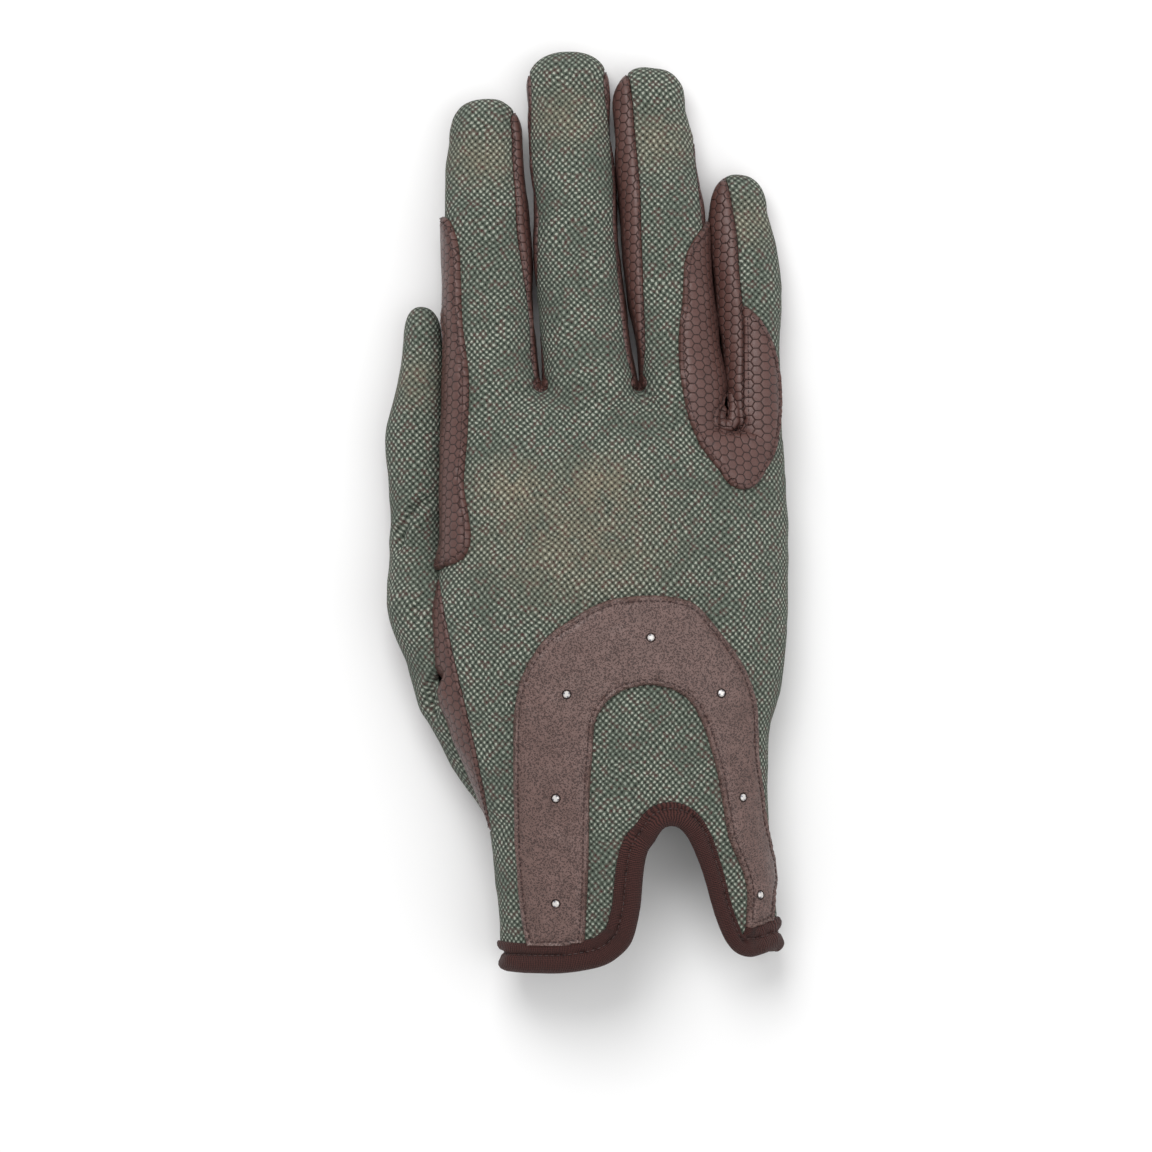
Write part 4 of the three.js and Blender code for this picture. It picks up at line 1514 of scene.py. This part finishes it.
class Sewing:
    """Sews rows of stitches along lines."""

    def __init__(self) -> None:
        """Make the stitches' node tree and their thread."""
        self.tree = stitch_tree()
        self.thread = spun(THREAD)

    def sew(self, name: str, lines: list[Array], size: StitchSize, seed: int) -> bpy.types.Object:
        """Stitches along lines.

        Args:
            name: the piece's name.
            lines: the lines in mm.
            size: the stitches' sizes.
            seed: seed of the stitches' lengths.

        Returns:
            The stitches as one mesh.
        """
        points: list[tuple[float, float, float]] = []
        edges: list[tuple[int, int]] = []
        for line in lines:
            first = len(points)
            points += [tuple(q) for q in (line * MM).tolist()]
            edges += [(first + i, first + i + 1) for i in range(len(line) - 1)]
        mesh = bpy.data.meshes.new(name + "_line")
        mesh.from_pydata(points, edges, [])
        source = bpy.data.objects.new(name + "_line", mesh)
        bpy.context.scene.collection.objects.link(source)
        modifier = source.modifiers.new("stitches", "NODES")
        modifier.node_group = self.tree
        values = {
            "Pitch": size.pitch * MM, "Length": size.length * MM, "Thickness": size.thickness * MM,
            "Seed": seed, "Thread": self.thread,
        }
        for item in self.tree.interface.items_tree:
            if item.in_out == "INPUT" and item.name in values:
                modifier[item.identifier] = values[item.name]
        source.update_tag()
        bpy.context.view_layer.update()
        ready = source.evaluated_get(bpy.context.evaluated_depsgraph_get())
        made = bpy.data.meshes.new_from_object(ready)
        made.name = name
        source.modifiers.remove(modifier)
        bpy.data.objects.remove(source)
        bpy.data.meshes.remove(mesh)
        piece = bpy.data.objects.new(name, made)
        bpy.context.scene.collection.objects.link(piece)
        return piece


def smoothed(line: Array, rounds: int = 3) -> Array:
    """A line with its small steps ironed out; its ends stay.

    Args:
        line: the line.
        rounds: how often it is ironed.

    Returns:
        The smoother line.
    """
    line = line.copy()
    for _ in range(rounds):
        line[1:-1] = line[1:-1] * 0.5 + (line[:-2] + line[2:]) * 0.25
    return line


# The glove


@dataclass(frozen=True)
class PatchSize:
    """Leather laid over the back: sizes in mm."""

    lift: float = 0.3
    wall: float = 1.0
    edge: float = 0.9
    groove_at: float = 1.35
    groove: float = 0.5
    puff: float = 0.25  # how far the strip outside the groove swells


# The glove's small measures, in mm
DENTS = ((0.38, 11.0, 1), (0.2, 5.0, 2), (0.09, 2.4, 3))  # depth, size and seed of the noises
CREASE_DEPTH, CREASE_HALF = 1.7, 1.1
CREASE_LIP, LIP_AT, LIP_HALF = 0.5, 2.2, 1.2  # the swelling beside a crease
CUFF_LIFT = 1.7  # how far the cuff's edge turns up
# The path of the rolled leather at the little finger's web, with its height over the hand's top
KNOB_PATH = [
    (36.6, 33.0, 0), (36.7, 29.0, 0), (36.9, 24.6, 0), (36.2, 21.4, 0), (34.4, 20.6, 0),
    (33.2, 22.2, 0), (33.3, 24.6, 0), (34.3, 26.0, -0.8),
]
# Start, end and lift of the short seams on the little finger's leather
LITTLE_SEAMS = (((31.9, 66.3), (37.5, 67.2), 1.0), ((35.6, 26.2), (38.4, 27.4), 0.95))
# Radius and height of the rows of a stone and of its rim
STONE_ROWS = ((0.3, -0.8), (0.94, -0.25), (0.96, -0.1), (0.82, 0.12), (0.5, 0.32))
RIM_ROWS = ((1.15, -0.55), (1.22, 0.0), (1.08, 0.14), (0.95, 0.0), (0.95, -0.55))
SKY = 90.0  # rays that look for the hand's top start this high


def wrinkle(surface: Surface) -> None:
    """Give a form the soft dents of worn cloth; it stays flat where it lies.

    Args:
        surface: the form, changed in place.
    """
    p = surface.points
    dents = sum(depth * noise(p, size, seed) for depth, size, seed in DENTS)
    for crease in CREASES:
        away, along, _ = line_distance(p, smooth_line(crease, False))
        ends = smoothstep(0, 5, along) * smoothstep(along.max(), along.max() - 5, along)
        fold = CREASE_DEPTH * np.exp(-((away / CREASE_HALF) ** 2))
        lip = CREASE_LIP * np.exp(-(((away - LIP_AT) / LIP_HALF) ** 2))
        dents -= (fold - lip) * ends
    high = smoothstep(1.0, 6.0, p[:, 2])
    surface.points = p + surface.data["normal"] * (dents * high)[:, None]


def upward(height: float) -> Callable[[Array], Array]:
    """Positive for points above a height."""
    return lambda p: p[:, 2] - height


class Glove:
    """The glove's form, finishes and sewing, and the ways to make a panel, a seam and a patch."""

    def __init__(self) -> None:
        """Make the finishes and sample the hand, with its places along the cuff."""
        self.finishes = {
            Slot.MESH: knitted(MESH), Slot.SCALES: scaled(SCALES),
            Slot.SMOOTH: grained(GRAIN), Slot.TAPE: ribbed(TAPE),
        }
        self.sewing = Sewing()
        self.hand = surface_of(hand_form, (-52, -121, -3), (68, 121, 40), True)
        data = self.hand.data
        data["cuff"], data["along"], data["at"] = from_cuff(self.hand.points)
        wrinkle(self.hand)
        near = smoothstep(14, 1, data["cuff"]) * smoothstep(8, 1, self.hand.points[:, 2])
        self.hand.points[:, 2] += CUFF_LIFT * near
        xs, seams, inners = np.array(TAPE_WIDTHS, float).T
        data["seam"] = np.interp(data["at"], xs, seams)
        data["tape"] = data["seam"] + np.interp(data["at"], xs, inners)
        log.info("hand: %d points", len(self.hand.points))

    def panel(
        self, name: str, surface: Surface, slot: Slot, up: float = 1.0, puff: float = 0.0
    ) -> Surface:
        """Make the closed shell of one panel of the hand or thumb.

        Args:
            name: the CAD node that it stands for.
            surface: the panel.
            slot: its material slot.
            up: -1 where it faces down.
            puff: how far it swells where it faces up.

        Returns:
            The panel with its distance from the rim in data "rim".
        """
        rim = surface.rim_distance(4.0)
        top = rounded(rim, 1.1, 0.55)
        swell = np.sqrt(np.clip(1 - (1 - np.clip(rim / 2.2, 0, 1)) ** 2, 0, 1))
        top += puff * swell * smoothstep(0.1, 0.6, surface.data["normal"][:, 2])
        made = shell(surface, top, np.full(len(top), -CLOTH_WALL), unroll(surface, up))
        self.ride(mesh_object(name + "_cloth", made, self.finishes[slot]), slot, name)
        surface.data["rim"], surface.data["top"] = rim, top
        return surface

    def seam(
        self, name: str, surface: Surface, size: StitchSize, seed: int,
        keep: Callable[[Array], Array] | None = None,
    ) -> None:
        """Sew round a piece, along its rim.

        Args:
            name: the piece's name.
            surface: its surface, with its top's height and its rim's distance.
            size: the stitches' sizes.
            seed: seed of the stitches' lengths.
            keep: positive for the points that are sewn; all of them if none.
        """
        fine, chains = surface.contour(surface.data["rim"] - size.inset)
        places = fine.points + fine.data["normal"] * (fine.data["top"] + THREAD_LIFT)[:, None]
        wanted = np.ones(len(places), bool) if keep is None else keep(fine.points) > 0
        lines = []
        for chain in chains:
            run: list[int] = []
            for i in [*chain, -1]:
                if i >= 0 and wanted[i]:
                    run.append(i)
                    continue
                if len(run) > 8:
                    lines.append(smoothed(places[run]))
                run = []
        self.ride(self.sewing.sew(name, lines, size, seed), Slot.TAPE)

    def ride(self, piece: bpy.types.Object, slot: Slot, *nodes: str) -> None:
        """Tie a piece to the body, hide the CAD nodes that it stands for, and report it.

        Args:
            piece: the piece.
            slot: its material slot; not used.
            nodes: the CAD nodes that it stands for.
        """
        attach(piece, "root")
        if nodes:
            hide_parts(*nodes)
        log.info("%s: %d faces", piece.name, len(piece.data.polygons))

    def patch(
        self, name: str, inside: Array, hem: Sequence[Sequence[float]], slot: Slot, size: PatchSize
    ) -> Surface:
        """Make a patch of leather laid over the back.

        Args:
            name: the CAD node that it stands for.
            inside: distance of the hand's points from the patch's outline.
            hem: the seam that it stays above.
            slot: its material slot.
            size: its sizes.

        Returns:
            The patch with its top face's height in data "top".
        """
        rise = above(self.hand.points, hem)
        if name == "rein_patch":
            rise = rise + 5.0 * smoothstep(26, 34, self.hand.points[:, 1])
        self.hand.data["rise"] = rise
        region = self.hand.where(inside)
        region = region.where(region.data["rise"])
        rim = region.rim_distance(5.0)
        top = size.lift + size.wall + rounded(rim, size.edge, size.wall * 0.8)
        top -= size.groove * np.exp(-(((rim - size.groove_at) / 0.35) ** 2))
        top += size.puff * np.exp(-(((rim - size.groove_at * 0.5) / 0.5) ** 2))
        made = shell(region, top, np.full(len(top), size.lift * 0.3), unroll(region))
        self.ride(mesh_object(name + "_leather", made, self.finishes[slot]), slot, name)
        region.data.update(rim=rim, top=top)
        return region


@dataclass(frozen=True)
class HandPanels:
    """The palm, the back, the leather between the fingers and the thumb's gusset: sizes in mm."""

    hem: float = 0.6  # the panels end this far inside the tape's edge
    web_puff: float = 0.7  # how far the leather between the fingers swells
    web_sewn: float = 5.0  # its stitches show above this height
    gusset_sewn: float = 14.0

    def build(self, glove: Glove) -> None:
        """Cut the hand into its panels and sew them.

        Args:
            glove: the glove that they belong to.
        """
        body = glove.hand.where(glove.hand.data["cuff"] - self.hem)
        seam = above(body.points, PALM_SEAM)
        glove.panel("palm_panel", body.where(-seam), Slot.SCALES, -1.0)
        back = body.where(seam)
        for number, between in enumerate(FOURCHETTES):
            inside = between.field(back.points)
            leather = glove.panel(between.name, back.where(inside), Slot.SCALES, puff=self.web_puff)
            glove.seam(f"{between.name}_stitches", leather, WEB_STITCH, 20 + number, upward(self.web_sewn))
            back = back.where(-inside)
        edge = np.concatenate([smooth_line(GUSSET, False), np.array(GUSSET_BACK, float)])
        inside = inside_outline(back.points, edge)
        gusset = glove.panel("thumb_gusset", back.where(inside), Slot.SCALES)
        glove.seam("thumb_gusset_stitches", gusset, GUSSET_STITCH, 30, upward(self.gusset_sewn))
        glove.panel("back_panel", back.where(-inside), Slot.MESH)


@dataclass(frozen=True)
class ThumbPanels:
    """The thumb's two halves: sizes in mm."""

    overlap: float = 0.35  # how far the thumb's edge reaches into the hand

    def build(self, glove: Glove) -> None:
        """Make the halves.

        Args:
            glove: the glove that they belong to.
        """
        thumb = surface_of(thumb_form, (-56, -90, -3), (-5, 58, 32), False)
        wrinkle(thumb)
        thumb = thumb.where(hand_form(thumb.points) + self.overlap)
        seam = above(thumb.points, THUMB_SEAM)
        glove.panel("thumb_palm", thumb.where(-seam), Slot.SCALES, -1.0)
        glove.panel("thumb_back", thumb.where(seam), Slot.MESH)


@dataclass(frozen=True)
class Patches:
    """The index finger's guard, the rein patch and the horseshoe: sizes in mm."""

    guard_gap: float = 0.5  # between the guard and the thumb
    guard_sewn: float = 2.5  # its stitches show this far above its hem
    rein_groove: float = 1.15  # the rein patch's seam lies nearer to its edge
    rein_sewn: float = 13.0
    shoe_under: float = 0.8  # how far the horseshoe reaches under the tape
    shoe_sewn: float = 7.2  # its stitches start this far from the cuff's edge

    def build(self, glove: Glove) -> Surface:
        """Make and sew the patches.

        Args:
            glove: the glove that they belong to.

        Returns:
            The horseshoe, which carries the stones.
        """
        p = glove.hand.points
        size = PatchSize()
        edge = np.concatenate([smooth_line(GUARD, False), np.array(GUARD_BACK, float)])
        inside = np.minimum(inside_outline(p, edge), thumb_form(p) - self.guard_gap)
        guard = glove.patch("index_guard", inside, GUARD_HEM, Slot.SCALES, size)
        glove.seam(
            "index_guard_stitches", guard, PATCH_STITCH, 1,
            lambda q: above(q, GUARD_HEM) - self.guard_sewn,
        )
        narrow = PatchSize(groove_at=self.rein_groove)
        rein = glove.patch("rein_patch", self.rein_field(p), REIN_HEM, Slot.SCALES, narrow)
        glove.seam("rein_patch_stitches", rein, PATCH_STITCH, 2, upward(self.rein_sewn))
        lines = [smooth_line(line, False, 5) for line in (HORSESHOE_OUTER, HORSESHOE_INNER)]
        outline = np.concatenate(lines)
        data = glove.hand.data
        inside = np.minimum(inside_outline(p, outline), data["cuff"] - data["tape"] + self.shoe_under)
        shoe = glove.patch("horseshoe", inside, REIN_HEM, Slot.SMOOTH, size)
        glove.seam(
            "horseshoe_stitches", shoe, StitchSize(), 3, lambda q: from_cuff(q)[0] - self.shoe_sewn
        )
        return shoe

    def rein_field(self, p: Array) -> Array:
        """Distance of the hand's points into the rein patch: a U round the leather at its web.

        Args:
            p: the hand's points.

        Returns:
            One distance per point, positive inside.
        """
        outline = inside_outline(p, smooth_line(REIN, True, 5))
        between = FOURCHETTES[2]
        end = between.radius - np.hypot(p[:, 0] - between.middle[0], p[:, 1] - between.middle[1])
        owner = finger_distances(p).argmin(axis=0)
        little = -between.right.beyond(p) + 0.2
        ring = -between.left.beyond(p) + 14 * smoothstep(27, 33, p[:, 1])
        on_ring, on_little = owner == FINGERS.index(RING), owner == FINGERS.index(LITTLE)
        side = np.where(on_little, little, np.where(on_ring, ring, 9.0))
        side = np.where(p[:, 1] > between.middle[1], side, 9.0)
        return np.minimum(np.minimum(outline, -end), side)


@dataclass(frozen=True)
class Knob:
    """The rolled end of the little finger's leather, and the short seams on it: sizes in mm."""

    foot: tuple[float, float] = (35.4, 18.6)  # the hand's height here and at the head tilts the roll
    head: tuple[float, float] = (36.8, 30.0)
    radius: float = 1.75

    def build(self, glove: Glove) -> None:
        """Make the roll and sew the short seams.

        Args:
            glove: the glove that they belong to.
        """
        hand = glove.hand
        tree = BVHTree.FromPolygons(hand.points.tolist(), hand.triangles.tolist())

        def height(x: float, y: float) -> float:
            """Height of the hand's top at x, y."""
            return float(tree.ray_cast(Vector((x, y, SKY)), Vector((0, 0, -1)))[0].z)

        low, high = height(*self.foot), height(*self.head)
        path = np.array(KNOB_PATH, float)
        sunk = np.where(path[:, 1] > 28, -1.6, -0.7)
        run = self.head[1] - self.foot[1]
        path[:, 2] += low + (high - low) * (path[:, 1] - self.foot[1]) / run + sunk
        made = roll(smooth_line(path, False, 6), self.radius)
        glove.ride(mesh_object("ring_little_knob", made, glove.finishes[Slot.SCALES]), Slot.SCALES)
        lines = []
        for start, end, lift in LITTLE_SEAMS:
            row = np.linspace(start, end, 14)
            lines.append(np.array([[x, y, height(x, y) + lift] for x, y in row]))
        glove.ride(glove.sewing.sew("little_seam_stitches", lines, LITTLE_STITCH, 9), Slot.TAPE)


@dataclass(frozen=True)
class Binding:
    """The tape round the cuff's edge: sizes in mm."""

    outer: float = 1.5  # height of the lobe next to the edge
    inner: float = 1.25
    edge: float = 2.4
    sewn: float = 2.0  # its stitches show above this height

    def build(self, glove: Glove) -> None:
        """Fold the tape round the edge and sew it.

        Args:
            glove: the glove that it belongs to.
        """
        region = glove.hand.where(glove.hand.data["cuff"] - 0.02)
        region = region.where(region.data["tape"] - region.data["cuff"])
        c, seam, width = (region.data[key] for key in ("cuff", "seam", "tape"))
        outer = self.outer * np.sqrt(np.clip(1 - ((c - seam / 2) / (seam / 2 + 1.2)) ** 2, 0, 1))
        middle = (seam + width) / 2
        inner = self.inner * np.sqrt(np.clip(1 - ((c - middle) / ((width - seam) / 2 + 0.25)) ** 2, 0, 1))
        lobes = np.where(c < seam, outer, inner) - 0.6 * np.exp(-(((c - seam) / 0.35) ** 2))
        lobes += 0.12 * noise(region.points, 2.5, 5)
        turn = np.sqrt(np.clip(1 - (1 - np.clip(c / self.edge, 0, 1)) ** 2, 0, 1))
        middle_wall = -CLOTH_WALL / 2
        top = middle_wall + (lobes - middle_wall) * turn
        bottom = middle_wall - (self.outer * 0.6 + CLOTH_WALL / 2) * turn - 0.01
        flat = np.column_stack([region.data["along"], c])
        made = shell(region, top, bottom, flat)
        tape = mesh_object("cuff_binding_tape", made, glove.finishes[Slot.TAPE])
        glove.ride(tape, Slot.TAPE, "cuff_binding")
        region.data["top"], region.data["rim"] = top, c - seam
        glove.seam("cuff_binding_stitches", region, CUFF_STITCH, 4, upward(self.sewn))


@dataclass(frozen=True)
class Stones:
    """The faceted stones in their rims: points round each."""

    sides: int = 8
    rim_sides: int = 24

    def build(self, glove: Glove, shoe: Surface) -> None:
        """Set the stones into the horseshoe.

        Args:
            glove: the glove that they belong to.
            shoe: the horseshoe.
        """
        # lit and shaded copies of the stone's colour: painted highlight and painted shade, set facet by
        # facet
        painted_lit = plain("stone_bright", (0.62, 0.6, 0.58, 1), 0.1, 0.3)
        painted_shaded = plain("stone_shaded", (0.22, 0.22, 0.25, 1), 0.08, 0.5)
        rim = plain("rim_dark_metal", srgb(64, 56, 54), 0.35, 1.0)
        points = shoe.points + shoe.data["normal"] * shoe.data["top"][:, None]
        tree = BVHTree.FromPolygons(points.tolist(), shoe.triangles.tolist())
        for number, (x, y) in enumerate(STONES, 1):
            at, normal, _, _ = tree.ray_cast(Vector((x, y, SKY)), Vector((0, 0, -1)))
            made, count = turned(STONE_ROWS, self.sides, at, normal)
            ring, _ = turned(RIM_ROWS, self.rim_sides, at, normal, True)
            faces = made.faces + [tuple(i + count for i in f) for f in ring.faces]
            points = np.concatenate([made.points, ring.points])
            both = Shell(points, faces, points[:, :2])
            piece = mesh_object(f"stone_{number}_set", both, painted_lit)
            piece.data.materials.append(painted_shaded)
            piece.data.materials.append(rim)
            for polygon in piece.data.polygons:
                facet = polygon.index < len(made.faces)
                row = polygon.index // self.sides
                # about every third facet takes the painted shade and the others the painted highlight; the
                # rim keeps its metal
                shade = (row + polygon.index + number) % 3 == 0 and row < len(STONE_ROWS) - 1
                polygon.material_index = int(shade) if facet else 2
                polygon.use_smooth = not facet
            glove.ride(piece, Slot.STONE, f"stone_{number}")


def turned(
    rows: Sequence[tuple[float, float]], sides: int, at: Vector, up: Vector, ring: bool = False
) -> tuple[Shell, int]:
    """A solid of revolution, closed by flat ends or as a ring.

    Args:
        rows: radius and height of each row, from the bottom to the top.
        sides: points round it.
        at: where its origin goes.
        up: the direction of its axis.
        ring: whether the last row joins the first.

    Returns:
        The solid and its number of points.
    """
    turn = Vector((0, 0, 1)).rotation_difference(up)
    points = []
    for radius, height in rows:
        for i in range(sides):
            angle = 2 * math.pi * i / sides
            spot = Vector((radius * math.cos(angle), radius * math.sin(angle), height))
            points.append(tuple(at + turn @ spot))
    faces: list[tuple[int, ...]] = []
    count = len(rows)
    for row in range(count if ring else count - 1):
        low, high = row * sides, (row + 1) % count * sides
        faces += [(low + i, low + (i + 1) % sides, high + (i + 1) % sides, high + i) for i in range(sides)]
    if not ring:
        faces.append(tuple(reversed(range(sides))))
        faces.append(tuple(range((count - 1) * sides, count * sides)))
    array = np.array(points)
    return Shell(array, faces, array[:, :2]), len(points)


def roll(path: Array, radius: float, sides: int = 14) -> Shell:
    """A soft roll along a path with round ends, a little lower than wide.

    Args:
        path: the middle of the roll in mm.
        radius: half its width.
        sides: points round it.

    Returns:
        The closed roll.
    """
    along = line_run(path)
    total = along[-1]
    run = np.gradient(path, axis=0)
    run /= np.linalg.norm(run, axis=1, keepdims=True)
    across = np.cross(run, [0.0, 0.0, 1.0])
    across /= np.linalg.norm(across, axis=1, keepdims=True)
    up = np.cross(across, run)
    end = np.minimum(along, total - along) / radius
    dome = np.sqrt(np.clip(1 - (1 - np.clip(end, 0.03, 1)) ** 2, 0, 1))
    girth = radius * dome * (1 + 0.08 * np.sin(along * 3.1))
    points, flat, faces = [], [], []
    for i, centre in enumerate(path):
        for k in range(sides):
            angle = 2 * math.pi * k / sides
            points.append(centre + girth[i] * (math.cos(angle) * across[i] + 0.85 * math.sin(angle) * up[i]))
            flat.append((angle * radius, along[i]))
    for i in range(len(path) - 1):
        low = i * sides
        for k in range(sides):
            after = (k + 1) % sides
            faces.append((low + k, low + sides + k, low + sides + after, low + after))
    faces.append(tuple(range(sides)))
    faces.append(tuple(reversed(range(len(points) - sides, len(points)))))
    return Shell(np.array(points), faces, np.array(flat))


# The stage, in metres and watts
FLOOR_HALF, FLOOR_DROP = 3.0, 0.0002
SKY_LIGHT = 0.7
LIGHTS = (
    ("key", (-0.25, 0.75, 1.2), 0.8, 13.0),
    ("fill", (0.75, -0.2, 1.3), 1.3, 6.5),
)
CAMERA_AT = (-0.0026, -0.0165, 1.6)
SENSOR = 36.0
SEEN_WIDTH, SEEN_HEIGHT = 0.288, 0.012  # the picture's width at this height over the floor


def build_stage() -> None:
    """The floor, the lights and the camera."""
    floor_mesh = bpy.data.meshes.new("floor")
    half = FLOOR_HALF
    corners = [(-half, -half, 0), (half, -half, 0), (half, half, 0), (-half, half, 0)]
    floor_mesh.from_pydata(corners, [], [(0, 1, 2, 3)])
    floor = bpy.data.objects.new("floor", floor_mesh)
    bpy.context.scene.collection.objects.link(floor)
    floor_mesh.materials.append(plain("floor_pale", (0.8, 0.8, 0.8, 1), 0.9))
    floor.location.z = -FLOOR_DROP
    world = bpy.data.worlds.new("studio")
    bpy.context.scene.world = world
    world.use_nodes = True
    world.node_tree.nodes["Background"].inputs[0].default_value = (1, 1, 1, 1)
    world.node_tree.nodes["Background"].inputs[1].default_value = SKY_LIGHT
    for name, spot, size, power in LIGHTS:
        light = bpy.data.lights.new(name, "AREA")
        light.size, light.energy = size, power
        lamp = bpy.data.objects.new(name, light)
        lamp.location = spot
        lamp.rotation_euler = (Vector((0, 0, 0)) - Vector(spot)).to_track_quat("-Z", "Y").to_euler()
        bpy.context.scene.collection.objects.link(lamp)
    lens = bpy.data.cameras.new("camera")
    camera = bpy.data.objects.new("camera", lens)
    camera.location = CAMERA_AT
    lens.sensor_width = SENSOR
    lens.lens = SENSOR * (CAMERA_AT[2] - SEEN_HEIGHT) / SEEN_WIDTH
    bpy.context.scene.collection.objects.link(camera)
    bpy.context.scene.camera = camera
    bpy.context.scene.view_settings.view_transform = "Standard"


def main() -> None:
    """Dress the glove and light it."""
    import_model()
    glove = Glove()
    HandPanels().build(glove)
    ThumbPanels().build(glove)
    shoe = Patches().build(glove)
    Knob().build(glove)
    Binding().build(glove)
    Stones().build(glove, shoe)
    build_stage()


if __name__ == "__main__":
    logging.basicConfig(level=logging.INFO)
    main()
